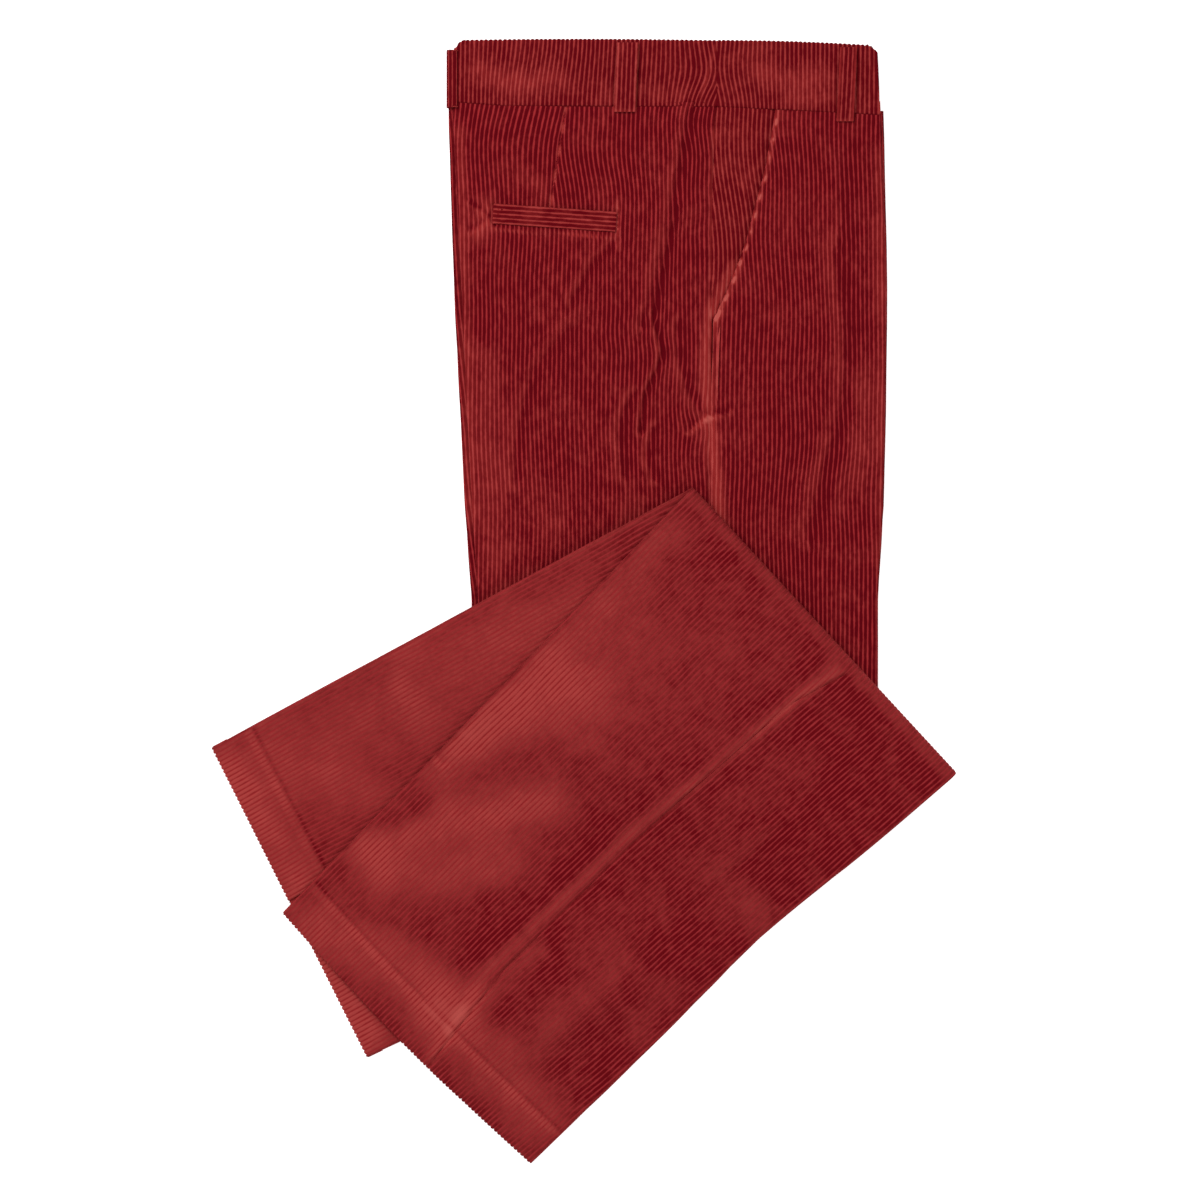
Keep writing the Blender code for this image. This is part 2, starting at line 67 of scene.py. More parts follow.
# Cloth, in millimetres, as the solids have it
CLOTH = 1.5
GAP = 0.3
LAYER = CLOTH + GAP
TUBE = 2.0 * CLOTH + GAP            # a leg pressed flat
EDGE = TUBE / 2.0                   # outer radius round a leg's pressed edge
WALE = 3.3                          # eight wales to the inch
PILE = 0.62                         # depth of the valleys between the wales
BAND_PILE, LOOP_PILE, WELT_PILE = PILE * 1.15, 0.5, 0.55
BAND, LOOP, WELT = 3.0, 1.4, 0.9    # thickness of the trim
SIDE_LIFT, TOP_LIFT = 1.8, 1.2      # rise of each half toward the waistband
SEAM_SINK, SEAM_WIDTH = 1.0, 2.2    # line sunk along the waistband's seam
EDGE_FADE = 3.0                     # how far relief runs on round a pressed edge
STOP_SHORT = 6.5                    # from the first fold to the cloth that doesn't go round it
HIGHEST, SHALLOW = 0.35, 0.6        # most that cloth stands proud; share of its swell in the seat

# Folds and edges, in millimetres, as the solids have them
FOLD1: Line = ((-81.0, -35.5), (215.7, -170.2))
TURN: Point = (80.3, 85.1)
FOLD2: Line = (TURN, (275.7, -126.5))
FOLD2_LEFT: Line = (TURN, (240.9, -146.5))
# Lower legs: share of the way from the second fold to the hem, left and right points
RIGHT_LEG = ((0.00, FOLD2[0], FOLD2[1]),
             (0.45, (-56.2, -56.4), (131.3, -252.3)),
             (1.00, (-223.1, -229.4), (-38.9, -415.9)))
LEFT_LEG = ((0.00, FOLD2_LEFT[0], FOLD2_LEFT[1]),
            (1.00, (-275.7, -107.3), (-160.2, -337.4)))
HEM_BOW = 4.5
HEM_TURN = 33.0                     # depth of the hem turned up inside
HEM = 262.0                         # width of a leg pressed flat
HALF_HEM = HEM / 2.0

# Seat and thighs: height, then the lines that cross it
BODY_HEIGHTS = (368.0, 345.0, 318.0, 294.0, 265.0, 234.0, 208.0, 140.0, 72.0, 2.0)
UNDER_BACK = (-101.2, -100.5, -99.7, -99.0, -98.2, -97.0, -95.9, -92.4, -89.0, -84.0)
TOP_BACK = (-98.0, -96.8, -95.4, -94.2, -92.6, -91.4, -90.2, -87.2, -83.6, -79.0)
SIDE_SEAM = (97.8, 96.5, 95.2, 94.4, 94.1, 94.0, 93.9, 93.4, 93.0, 92.4)
POCKET = (142.5, 138.8, 133.6, 126.9, 119.5, 107.7, 95.6, 93.7, 93.3, 92.7)
TOP_FRONT = (219.0, 220.0, 220.8, 221.8, 222.8, 223.4, 223.4, 222.6, 221.0, 216.8)
UNDER_FRONT = (221.8, 222.4, 223.0, 223.6, 224.3, 224.7, 224.6, 223.8, 222.2, 217.9)
WAIST_SEAM = ((-101.2, 372.0), (-60.0, 369.0), (97.8, 368.2), (160.0, 365.4), (222.0, 362.0))
POCKET_END = 208.0
LIFT_END, LIFT_LENGTH = 318.0, 27.0
DART = ((-13.7, 366.3), (-25.5, 293.8))


def level(number: int) -> float:
    """Height of a layer's underside in the full stack, in millimetres."""
    return number * LAYER


FOLD_OUTER = (level(8) - GAP) / 2.0         # outer radii round the folds, from the outside in
FOLD_INNER = (FOLD_OUTER - LAYER, FOLD_OUTER - 2.0 * LAYER)


def smooth(value: Array) -> Array:
    """Ease from 0 to 1."""
    value = np.clip(value, 0.0, 1.0)
    return value * value * (3.0 - 2.0 * value)


def at_height(column: Sequence[float], y: Array) -> Array:
    """One of the body's lines at a height.

    Args:
        column: x of the line at each of BODY_HEIGHTS.
        y: heights in millimetres.

    Returns:
        x of the line at those heights.
    """
    return np.interp(y, BODY_HEIGHTS[::-1], column[::-1])


def outside(x: Array, y: Array, outline: Sequence[Point]) -> Array:
    """How far points lie beyond a convex outline.

    Args:
        x: x of the points.
        y: y of the points.
        outline: the outline's corners, in order.

    Returns:
        Distance past the farthest side's line, negative inside.
    """
    pairs = list(zip(outline, list(outline[1:]) + [outline[0]]))
    area = sum(a[0] * b[1] - b[0] * a[1] for a, b in pairs)
    side = 1.0 if area > 0 else -1.0
    reach = np.full(np.shape(x), -1.0e9)
    for a, b in pairs:
        run = math.hypot(b[0] - a[0], b[1] - a[1])
        away = ((b[1] - a[1]) * (x - a[0]) - (b[0] - a[0]) * (y - a[1])) / run
        reach = np.maximum(reach, away * side)
    return reach


def fall(x: Array, y: Array, outline: Sequence[Point], start: float, length: float) -> Array:
    """1 on and near an outline, easing to 0 along a slope beyond it."""
    return 1.0 - smooth((outside(x, y, outline) - start) / length)


STACK = (FOLD1[0], FOLD2[0], FOLD2[1], FOLD1[1])
BODY = ((-92.6, 414.0), (217.2, 411.0), (224.6, 234.0), (222.2, 72.0), FOLD1[1],
        FOLD1[0], (-89.0, 72.0), (-98.2, 265.0))
LEFT_SHAPE = (LEFT_LEG[0][1], LEFT_LEG[0][2], LEFT_LEG[1][2], LEFT_LEG[1][1])
# Where the cloth that lies across each one starts to fall, and over how far
STACK_SLOPE = (10.0, 100.0)
BODY_SLOPE = (7.0, 50.0)
LEG_SLOPE = (34.0, 34.0)


def left_leg_floor(x: Array, y: Array) -> Array:
    """Underside of the left lower leg, on the stack, the body or the surface.

    Args:
        x: x of the points.
        y: y of the points.

    Returns:
        Height of the underside at each point.
    """
    stack = (level(8) - GAP) * fall(x, y, STACK, *STACK_SLOPE)
    body = (level(4) - GAP) * fall(x, y, BODY, *BODY_SLOPE)
    rest = np.maximum(stack, body)
    return rest + GAP * np.clip(rest / GAP, 0.0, 1.0)


def right_leg_floor(x: Array, y: Array) -> Array:
    """Underside of the right lower leg, on the left leg or beside it.

    Args:
        x: x of the points.
        y: y of the points.

    Returns:
        Height of the underside at each point.
    """
    drop = fall(x, y, STACK, *STACK_SLOPE)
    alone = np.maximum((level(7) - GAP) * drop, (level(4) - GAP) * fall(x, y, BODY, *BODY_SLOPE))
    alone = alone + GAP * np.clip(alone / GAP, 0.0, 1.0)
    share = fall(x, y, LEFT_SHAPE, *LEG_SLOPE)
    slack = (0.3 + 0.5 * smooth(40.0 * drop)) * smooth(8.0 * (1.0 - drop))
    return share * (left_leg_floor(x, y) + 2.0 * LAYER + slack) + (1.0 - share) * alone


def bell(distance: Array, width: float) -> Array:
    """1 on a line, easing to 0 beside it."""
    return np.exp(-(distance / width) ** 2)


def normal_of(line: Line, inside: Point) -> Point:
    """Unit vector across a line, away from a point inside the cloth.

    Args:
        line: the line.
        inside: a point of the cloth.

    Returns:
        The vector.
    """
    dx, dy = line[1][0] - line[0][0], line[1][1] - line[0][1]
    run = math.hypot(dx, dy)
    away = (-dy / run, dx / run)
    side = (line[0][0] - inside[0]) * away[0] + (line[0][1] - inside[1]) * away[1]
    return away if side > 0 else (-away[0], -away[1])


def to_path(x: Array, y: Array, path: Sequence[Point]) -> tuple[Array, Array]:
    """Distance from a path of straight runs, and which side of it.

    Args:
        x: x of the points.
        y: y of the points.
        path: the path's own points.

    Returns:
        The distance to the nearest run, and the signed distance across it.
    """
    best = np.full(np.shape(x), 1.0e9)
    signed = np.zeros(np.shape(x))
    for a, b in zip(path, path[1:]):
        dx, dy = b[0] - a[0], b[1] - a[1]
        run = dx * dx + dy * dy
        share = np.clip(((x - a[0]) * dx + (y - a[1]) * dy) / run, 0.0, 1.0)
        away = np.hypot(x - a[0] - share * dx, y - a[1] - share * dy)
        side = ((x - a[0]) * dy - (y - a[1]) * dx) / math.sqrt(run)
        nearer = away < best
        best = np.where(nearer, away, best)
        signed = np.where(nearer, np.sign(side) * away, signed)
    return best, signed


@dataclass(frozen=True)
class Crease:
    """A soft fold pressed into flat cloth.

    The cloth drops by depth along the path, rises by ridge beside it, and the
    wales crowd by pinch; shade paints a highlight on the ridge and shade in the hollow.
    """

    path: tuple[Point, ...]
    depth: float
    width: float
    ridge: float = 0.0
    pinch: float = 0.0
    shade: float = 0.0

    def height(self, x: Array, y: Array) -> Array:
        """Rise or fall of the cloth, in millimetres.

        Args:
            x: x of the points.
            y: y of the points.

        Returns:
            Height to add at each point.
        """
        away, signed = to_path(x, y, self.path)
        hollow = -self.depth * bell(away, self.width)
        beside = bell(signed - 1.7 * self.width, 1.3 * self.width)
        return hollow + self.ridge * beside * (away < 6.0 * self.width)

    def crowd(self, x: Array, y: Array) -> Array:
        """Sideways shift of the wales, in millimetres."""
        away, signed = to_path(x, y, self.path)
        return self.pinch * signed / self.width * bell(away, 1.6 * self.width)

    def sheen_and_shade(self, x: Array, y: Array) -> Array:
        """Painted highlight along the ridge, painted shade in the hollow.

        Args:
            x: x of the points.
            y: y of the points.

        Returns:
            Painted highlight and shade to add at each point.
        """
        away, signed = to_path(x, y, self.path)
        lit = bell(signed - 1.3 * self.width, self.width)
        return self.shade * (lit - bell(away, self.width)) * (away < 5.0 * self.width)


@dataclass(frozen=True)
class BrushedSheen:
    """A patch of painted sheen, where the pile is brushed the other way and would catch the light.
    """

    path: tuple[Point, ...]
    width: float
    strength: float

    def sheen_and_shade(self, x: Array, y: Array) -> Array:
        """How strong the painted sheen is, at points."""
        return self.strength * bell(to_path(x, y, self.path)[0], self.width)


@dataclass(frozen=True)
class RibEndHighlights:
    """Painted highlight on the ends of the ribs along a seam or edge, one after another."""

    path: tuple[Point, ...]
    width: float
    strength: float
    pitch: float
    share: float = 0.5

    def sheen_and_shade(self, x: Array, y: Array) -> Array:
        """How strong the painted highlight is, at points.

        Args:
            x: x of the points.
            y: y of the points.

        Returns:
            Painted highlight to add at each point.
        """
        away, _ = to_path(x, y, self.path)
        (ax, ay), (bx, by) = self.path[0], self.path[-1]
        run = math.hypot(bx - ax, by - ay)
        along = ((x - ax) * (bx - ax) + (y - ay) * (by - ay)) / run
        beat = np.cos(2.0 * math.pi * (along / self.pitch + 0.12 * np.sin(along / 17.0)))
        lit = smooth((beat - (1.0 - 2.0 * self.share)) / 0.8 + 0.3)
        inside = (along > -2.0) & (along < run + 2.0)
        return self.strength * lit * inside * bell(away, self.width)


def creases(*rows: tuple) -> tuple[Crease, ...]:
    """Creases, from rows of their five measures and then the path's points."""
    return tuple(Crease(row[5:], *row[:5]) for row in rows)


def patches(*rows: tuple) -> tuple[BrushedSheen, ...]:
    """Patches of painted sheen, from rows of width, strength and then the path's points."""
    return tuple(BrushedSheen(row[2:], *row[:2]) for row in rows)


CREASES = creases(
    # depth, width, ridge, pinch, shade, points of the path
    (1.7, 4.2, 0.9, 0.9, 0.34, (80, 362), (70, 310), (60, 262), (51, 222), (44, 206)),
    (0.9, 2, 0.6, 0.5, 0.4, (69, 292), (60, 250), (52.5, 214)),
    (1.9, 2.3, 1, 1, 0.5, (51, 213), (58.5, 186), (55, 174), (45.5, 154), (42, 127)),
    (1.2, 4, 0.6, 0.4, 0.4, (36.5, 152), (28, 130), (30, 96)),
    (1, 3, 0.5, 0.3, 0.4, (52, 128), (47, 108), (52, 92)),
    (1.3, 2.2, 0.7, 0.3, 0.5, (77.3, 128), (88.7, 138.5), (106, 142)),
    (0.9, 3.4, 0.6, 0.4, 0.35, (70, 206), (72, 178), (77, 160), (86, 143)),
    (1.2, 6, 0.9, 0.7, 0.3, (189, 262), (197, 201), (195, 149.5), (185, 112), (169, 50)),
    (0.7, 4, 0.5, 0.1, 0.22, (-10.7, 201.3), (-34, 174), (-47, 132), (-50, 90)),
    (0.8, 3, 0.5, 0.3, 0.32, (24, 268), (6, 249), (-8, 223.5)),
    (0.8, 2, 0.6, 0.4, 0.4, (-84, 296), (-72, 288), (-66, 279)),
    (0.7, 2, 0.6, 0.4, 0.4, (-84, 276), (-73, 284), (-66, 291)),
    (0.6, 5, 0.5, 0.3, 0.15, (200, 340), (193, 300), (196, 262)),
)
# Painted sheen on the seat and front: lit patches, lit lines along seams and edges, and painted
# highlights on the rib ends at the dart and the welt
SEAT_SHEEN = patches(
    # width, strength, points of the path
    (5.5, 0.95, (98, 222), (90, 190), (91, 165), (92, 140), (97, 95), (100, 60)),
    (4.5, 0.75, (95, 214), (103, 232), (112, 250)),
    (4, 0.4, (78, 128), (92, 137)),
    (12, 0.3, (203, 165), (206, 120), (200, 96)),
    (5, 0.35, (219.5, 330), (221, 0)),
    (4, 0.38, (-92, 350), (-84, 60)),
    (14, 0.26, (-76, 180), (-72, 60), (-60, 0)),
    (26, 0.12, (-60, 100), (0, 30), (50, 60)),
    (8, 0.5, (-72, 292), (-78, 272)),
    (9, 0.2, (-60, 320), (-30, 312)),
    (2, 0.5, (24, 294), (25, 262)),
    (7, 0.4, (140, 360), (118, 356)),
    (1.7, 0.55, (95.5, 350), (93.5, 240)),
) + (
    RibEndHighlights(DART, 1.2, 1.15, 17, 0.4),
    RibEndHighlights(((24.5, 296), (24.5, 275)), 1.2, 0.9, 5, 0.7),
    RibEndHighlights(((-66, 276), (23, 270)), 1.2, 0.9, 3.4, 0.5),
)
# Painted sheen on the right lower leg; the last two rows, below 0, paint shade
LEG_SHEEN_AND_SHADE = patches(
    (16, 0.42, (60, 50), (-30, -45), (-110, -125)),
    (24, 0.62, (-88, -98), (-50, -86), (-14, -62)),
    (20, 0.66, (-160, -182), (-95, -160), (-30, -150)),
    (18, 0.5, (-150, -205), (-110, -205), (-55, -192)),
    (24, 0.62, (-195, -240), (-150, -262), (-112, -292)),
    (22, 0.6, (-104, -306), (-60, -352), (-34, -384)),
    (30, 0.3, (40, -20), (0, -95)),
    (36, 0.16, (110, -20), (60, -80)),
    (18, 0.3, (20, -268), (-38, -328)),
    (16, 0.3, (130, -236), (104, -210)),
    (14, 0.2, (60, -290), (40, -320)),
    (22, 0.12, (150, -120), (80, -190), (10, -250)),
    (2.4, 0.3, (203, -44), (158, -70), (128, -96)),
    (5.5, 0.42, (200, -36), (126, -98), (36, -170), (-14, -218), (-72, -272), (-112, -336)),
    (9, 0.35, (-36, -258), (-86, -306)),
    (8, -0.3, (-145, -166), (-118, -150)),
    (9, -0.12, (-96, -272), (-38, -232), (20, -164)),
)
# Painted sheen on the left lower leg
LEFT_LEG_SHEEN = patches(
    (46, 0.34, (-272, -128), (-190, -100), (-90, -60)),
    (22, 0.36, (-60, -28), (-10, 0)),
    (12, 0.2, (-128, -30), (-138, -62), (-118, -88)),
    (15, 0.5, (-262, -128), (-220, -190), (-168, -318)),
    (40, 0.34, (-190, -240), (-150, -320)),
    (20, 0.2, (-205, -130), (-150, -150)),
    (3, 0.35, (40, 62), (-60, 10), (-250, -94)),
)


def linear(hex_colour: str) -> tuple[float, float, float, float]:
    """Turn an sRGB hex colour, such as "#8A2423", into a linear one.

    Args:
        hex_colour: the colour, with its sign.

    Returns:
        Red, green, blue and alpha.
    """
    parts = [int(hex_colour[i:i + 2], 16) / 255.0 for i in (1, 3, 5)]
    flat = [c / 12.92 if c <= 0.04045 else ((c + 0.055) / 1.055) ** 2.4 for c in parts]
    return (flat[0], flat[1], flat[2], 1.0)


@dataclass
class Weave:
    """Short calls that add nodes to one material."""

    tree: bpy.types.NodeTree

    def add(self, kind: str, inputs: Optional[dict] = None, **settings: object) -> bpy.types.Node:
        """Add a node.

        Args:
            kind: the node's type name.
            inputs: input name or number, to an output that feeds it or to a value.
            settings: the node's own attributes.

        Returns:
            The new node.
        """
        node = self.tree.nodes.new(kind)
        for name, value in settings.items():
            setattr(node, name, value)
        for key, value in (inputs or {}).items():
            if isinstance(value, bpy.types.NodeSocket):
                self.tree.links.new(value, node.inputs[key])
            else:
                node.inputs[key].default_value = value
        return node

    def maths(self, operation: str, *values: Feed) -> bpy.types.NodeSocket:
        """Result of a sum on outputs and numbers."""
        return self.add("ShaderNodeMath", dict(enumerate(values)), operation=operation).outputs[0]

    def noise(self, where: bpy.types.NodeSocket, scale: float, detail: float,
              roughness: float = 0.5) -> bpy.types.NodeSocket:
        """Noise from 0 to 1, about a half on average."""
        return self.add("ShaderNodeTexNoise", {"Vector": where, "Scale": scale, "Detail": detail,
                                               "Roughness": roughness}).outputs["Fac"]

    def share(self, value: bpy.types.NodeSocket, low: float, high: float, **settings: object
              ) -> bpy.types.NodeSocket:
        """Where a value lies between two limits, from 0 to 1."""
        return self.add("ShaderNodeMapRange", {"Value": value, "From Min": low, "From Max": high},
                        **settings).outputs[0]

    def mix(self, share: bpy.types.NodeSocket, first: Feed, second: Feed) -> bpy.types.NodeSocket:
        """Mix of two colours by a share of the second."""
        return self.add("ShaderNodeMix", {0: share, 6: first, 7: second},
                        data_type="RGBA").outputs[2]


@dataclass(frozen=True)
class Corduroy:
    """Cotton corduroy, woven with floats that are cut and brushed into ribs of pile.

    Looking straight into the pile the ribs are deep and saturated. The pale lines in the
    valleys are painted sheen, and brushed patches get painted sheen all over.
    """

    name: str
    rib: str = "#57000A"
    # Painted sheen: pale lines in the valleys, where the pile's flanks would catch the light
    valley_sheen: str = "#94292C"
    # Painted sheen: ribs and valleys where the pile is brushed the other way
    brushed_rib_sheen: str = "#8A2222"
    brushed_valley_sheen: str = "#AA423E"
    # Painted highlight on the ends of the ribs
    rib_end_highlight: str = "#B04C46"
    glow: str = "#D8544C"           # tint of the sheen
    valley_share: float = 0.31
    ragged: float = 0.42            # how far the pile's edge strays, in wales
    hollow_shade: float = 0.22           # how far painted crease shade closes the pale valley lines
    soft_edge: tuple[float, float] = (0.12, 0.13)
    streak_mm: float = 9.0
    blotch_mm: float = 22.0
    fleck: float = 360.0            # fine mottling and tufts, to the metre
    tuft: float = 1500.0
    uneven: tuple[float, float, float] = (1.1, 0.45, 0.5)   # weights of blotch, streak, fleck
    mottle: float = 1.0             # how unevenly the nap lies
    sheen_range: float = 0.85
    roughness: float = 0.92
    specular: float = 0.06
    sheen: float = 0.03
    sheen_roughness: float = 0.45

    def material(self) -> bpy.types.Material:
        """Build the finish from the cloth's own wale and nap coordinates.

        Returns:
            The material.
        """
        made = bpy.data.materials.new(self.name)
        made.use_nodes = True
        weave = Weave(made.node_tree)
        # Painted sheen and shade, per point: sheen above 0, crease shade below 0, rib-end highlight
        # above 1
        sheen_and_shade = weave.add("ShaderNodeAttribute", attribute_name="sheen_and_shade").outputs["Fac"]
        solid = weave.add("ShaderNodeTexCoord").outputs["Object"]
        place = weave.add("ShaderNodeUVMap", uv_map="wale").outputs["UV"]
        # Pile runs unevenly along each rib: noise stretched along the wale
        stretched = weave.add("ShaderNodeMapping", {
            "Vector": place, "Scale": (0.9, WALE / self.streak_mm, 1.0)}).outputs[0]
        pile = weave.noise(stretched, 1.0, 3.0)
        # Mask of the painted sheen lines between the ribs
        valley_sheen = self.valleys(weave, place, pile, sheen_and_shade)
        # Painted sheen of the brushed patches, broken up by random blotches, streaks and fine
        # mottling
        turned = sheen_and_shade
        blotch = weave.noise(solid, 1.0 / (self.blotch_mm * MM), 5.0, 0.6)
        for weight, noise in zip(self.uneven, (blotch, pile, weave.noise(solid, self.fleck, 2.0))):
            turned = weave.maths("MULTIPLY_ADD", noise, weight * self.mottle, turned)
        even = sum(self.uneven) / 2.0 * self.mottle - 0.025
        # Share of the painted sheen colours
        brushed = weave.share(turned, even, even + self.sheen_range)
        colour = weave.mix(valley_sheen, weave.mix(brushed, linear(self.rib), linear(self.brushed_rib_sheen)),
                           weave.mix(brushed, linear(self.valley_sheen), linear(self.brushed_valley_sheen)))
        # Painted highlight on the ends of the ribs at seams and edges
        colour = weave.mix(weave.share(sheen_and_shade, 1.0, 1.5), colour, linear(self.rib_end_highlight))
        tufts = weave.add("ShaderNodeBump", {"Strength": 0.25, "Distance": 0.2 * MM,
                                             "Height": weave.noise(solid, self.tuft, 1.0)})
        shader = made.node_tree.nodes["Principled BSDF"]
        made.node_tree.links.new(colour, shader.inputs["Base Color"])
        made.node_tree.links.new(tufts.outputs[0], shader.inputs["Normal"])
        shader.inputs["Roughness"].default_value = self.roughness
        shader.inputs["Specular IOR Level"].default_value = self.specular
        shader.inputs["Sheen Weight"].default_value = self.sheen
        shader.inputs["Sheen Roughness"].default_value = self.sheen_roughness
        shader.inputs["Sheen Tint"].default_value = linear(self.glow)
        return made

    def valleys(self, weave: Weave, place: bpy.types.NodeSocket, pile: bpy.types.NodeSocket,
                sheen_and_shade: bpy.types.NodeSocket) -> bpy.types.NodeSocket:
        """Where the painted sheen lines run between the ribs.

        Args:
            weave: the material's nodes.
            place: coordinates across and along the wales.
            pile: noise that runs along the ribs.
            sheen_and_shade: the painted sheen and shade; below 0 where crease shade is painted.

        Returns:
            0 on the ribs to 1 in the valleys.
        """
        across = weave.add("ShaderNodeSeparateXYZ", {0: place}).outputs["X"]
        away = weave.maths("ABSOLUTE", weave.maths("SUBTRACT", weave.maths("FRACT", across), 0.5))
        ragged = weave.maths("MULTIPLY_ADD", pile, self.ragged, away)
        # Painted crease shade: where the value is below 0, the pale valley lines close up
        hollow_shaded = weave.maths("MULTIPLY_ADD", weave.maths("MINIMUM", sheen_and_shade, 0.0),
                             self.hollow_shade, ragged)
        edge = 0.5 + self.ragged / 2.0 - self.valley_share / 2.0
        low, high = self.soft_edge
        return weave.share(hollow_shaded, edge - low, edge + high, interpolation_type="SMOOTHSTEP")


class Edge(Enum):
    """The pressed edge of a leg that a half of it goes round."""

    LEFT = -1
    RIGHT = 1


@dataclass
class Surface:
    """A grid of cloth: points in millimetres, wale and along coordinates, and painted sheen and
    shade.
    """

    points: Array
    wale: Array
    along: Array
    sheen_and_shade: Array
    flip: bool = False

    def normals(self) -> Array:
        """Unit normals on the side where the wales are.

        Returns:
            A normal for each point of the grid.
        """
        down = np.gradient(self.points, axis=0)
        across = np.gradient(self.points, axis=1)
        normal = np.cross(down, across)
        normal /= np.maximum(np.linalg.norm(normal, axis=2, keepdims=True), 1e-9)
        return -normal if self.flip else normal

    def ribbed(self, depth: float = PILE) -> "Surface":
        """Sink the valleys between the wales; the tops stay on the cloth's face.

        Args:
            depth: depth of the valleys, in millimetres.

        Returns:
            This surface.
        """
        cycle = np.abs((self.wale / WALE) % 1.0 - 0.5) * 2.0
        rib = np.sqrt(np.clip(1.0 - cycle ** 2, 0.0, 1.0))
        self.points = self.points + self.normals() * (depth * (rib - 1.0))[..., None]
        return self


def make_cloth(name: str, surfaces: Sequence[Surface], material: bpy.types.Material
               ) -> bpy.types.Object:
    """Make one object from grids of cloth.

    Args:
        name: the object's name.
        surfaces: its grids.
        material: its finish.

    Returns:
        The new object, in metres.
    """
    points, wales, sheen_patches, faces, base = [], [], [], [], 0
    for sheet in surfaces:
        rows, columns = sheet.wale.shape
        index = np.arange(rows * columns).reshape(rows, columns) + base
        quads = np.stack([index[:-1, :-1], index[1:, :-1], index[1:, 1:], index[:-1, 1:]], axis=-1)
        quads = quads.reshape(-1, 4)
        faces.append(quads[:, ::-1] if sheet.flip else quads)
        points.append(sheet.points.reshape(-1, 3))
        wales.append(np.stack([sheet.wale / WALE, sheet.along / WALE], axis=-1).reshape(-1, 2))
        sheen_patches.append(sheet.sheen_and_shade.reshape(-1))
        base += rows * columns
    corners = np.concatenate(faces).astype(np.int32)
    place = (np.concatenate(points) * MM).astype(np.float32)
    mesh = bpy.data.meshes.new(name)
    mesh.vertices.add(len(place))
    mesh.vertices.foreach_set("co", place.ravel())
    mesh.loops.add(corners.size)
    mesh.loops.foreach_set("vertex_index", corners.ravel())
    mesh.polygons.add(len(corners))
    mesh.polygons.foreach_set("loop_start", np.arange(0, corners.size, 4, dtype=np.int32))
    mesh.polygons.foreach_set("use_smooth", np.ones(len(corners), dtype=bool))
    mesh.update(calc_edges=True)
    chart = mesh.uv_layers.new(name="wale")
    chart.data.foreach_set("uv", np.concatenate(wales)[corners.ravel()].astype(np.float32).ravel())
    # Painted sheen and shade, per point
    sheen_and_shade = mesh.attributes.new("sheen_and_shade", "FLOAT", "POINT")
    sheen_and_shade.data.foreach_set("value", np.concatenate(sheen_patches).astype(np.float32))
    mesh.materials.append(material)
    mesh.validate()
    piece = bpy.data.objects.new(name, mesh)
    bpy.context.scene.collection.objects.link(piece)
    return piece


@dataclass(frozen=True)
class Finish:
    """A material and the name of the slot that it belongs to."""

    material: bpy.types.Material
    slot: str


def add_piece(name: str, surfaces: Sequence[Surface], finish: Finish, nodes: Sequence[str]) -> None:
    """Make a piece, ride it on the trousers, and hide the CAD nodes that it replaces.

    Args:
        name: the piece's name.
        surfaces: its grids of cloth.
        finish: its finish.
        nodes: the CAD nodes that it replaces.
    """
    piece = make_cloth(name, surfaces, finish.material)
    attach(piece, "root")
    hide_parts(*nodes)
    LOG.info("%s: %d faces", piece.name, len(piece.data.polygons))


# ---------------------------------------------------------------- grids of cloth


def roll(distance: Array, radius: float) -> tuple[Array, Array]:
    """Carry flat cloth half round an edge and back beneath itself.

    Args:
        distance: flat distance past the start of the turn, negative before it.
        radius: outer radius of the turn.

    Returns:
        How far the cloth reaches past the start, and how far it has dropped.
    """
    angle = np.clip(distance / radius, 0.0, math.pi)
    back = np.maximum(distance - math.pi * radius, 0.0)
    reach = np.where(distance < 0.0, distance, radius * np.sin(angle) - back)
    return reach, radius * (1.0 - np.cos(angle))


def over_fold(x: Array, y: Array, past: Array, outer: Array, away: Point, radius: float
              ) -> tuple[Array, Array, Array]:
    """Carry flat cloth half round a fold and on back over itself.

    Args:
        x: x of the flat cloth.
        y: y of the flat cloth.
        past: how far it lies past the start of the turn.
        outer: its distance from the middle of the fold.
        away: unit vector across the fold.
        radius: radius at which its length is kept.

    Returns:
        x and y of the folded cloth, and its height over the middle of the fold.
    """
    angle = np.clip(past / radius, 0.0, math.pi)
    back = np.maximum(past - math.pi * radius, 0.0)
    move = np.where(past > 0.0, outer * np.sin(angle) - back - past, 0.0)
    return x + away[0] * move, y + away[1] * move, outer * np.cos(angle)


@dataclass(frozen=True)
class Lean:
    """A patch where the wales lean away from their own direction."""

    x: float
    y: float
    reach: float
    degrees: float

    def shift(self, x: Array, y: Array) -> Array:
        """Sideways shift of the wales, in millimetres."""
        near = np.exp(-((x - self.x) ** 2 + (y - self.y) ** 2) / self.reach ** 2)
        return -math.tan(math.radians(self.degrees)) * (y - self.y) * near


def pressed(relief: Sequence[Crease], sheen_patches: Sequence[BrushedSheen], x: Array, y: Array,
            sheen_x: Array) -> tuple[Array, Array, Array]:
    """Sum of creases and patches of painted sheen.

    Args:
        relief: the creases.
        sheen_patches: the patches of painted sheen.
        x: x of the cloth.
        y: y of the cloth.
        sheen_x: x that the patches go by.

    Returns:
        How far the cloth stands out, the wales' sideways shift, and the painted sheen and shade.
    """
    out, shift, sheen_and_shade = np.zeros_like(x), np.zeros_like(x), np.zeros_like(x)
    for crease in relief:
        out = out + crease.height(x, y)
        shift = shift + crease.crowd(x, y)
        sheen_and_shade = sheen_and_shade + crease.sheen_and_shade(x, y)
    for patch in sheen_patches:
        sheen_and_shade = sheen_and_shade + patch.sheen_and_shade(sheen_x, y)
    return out, shift, sheen_and_shade


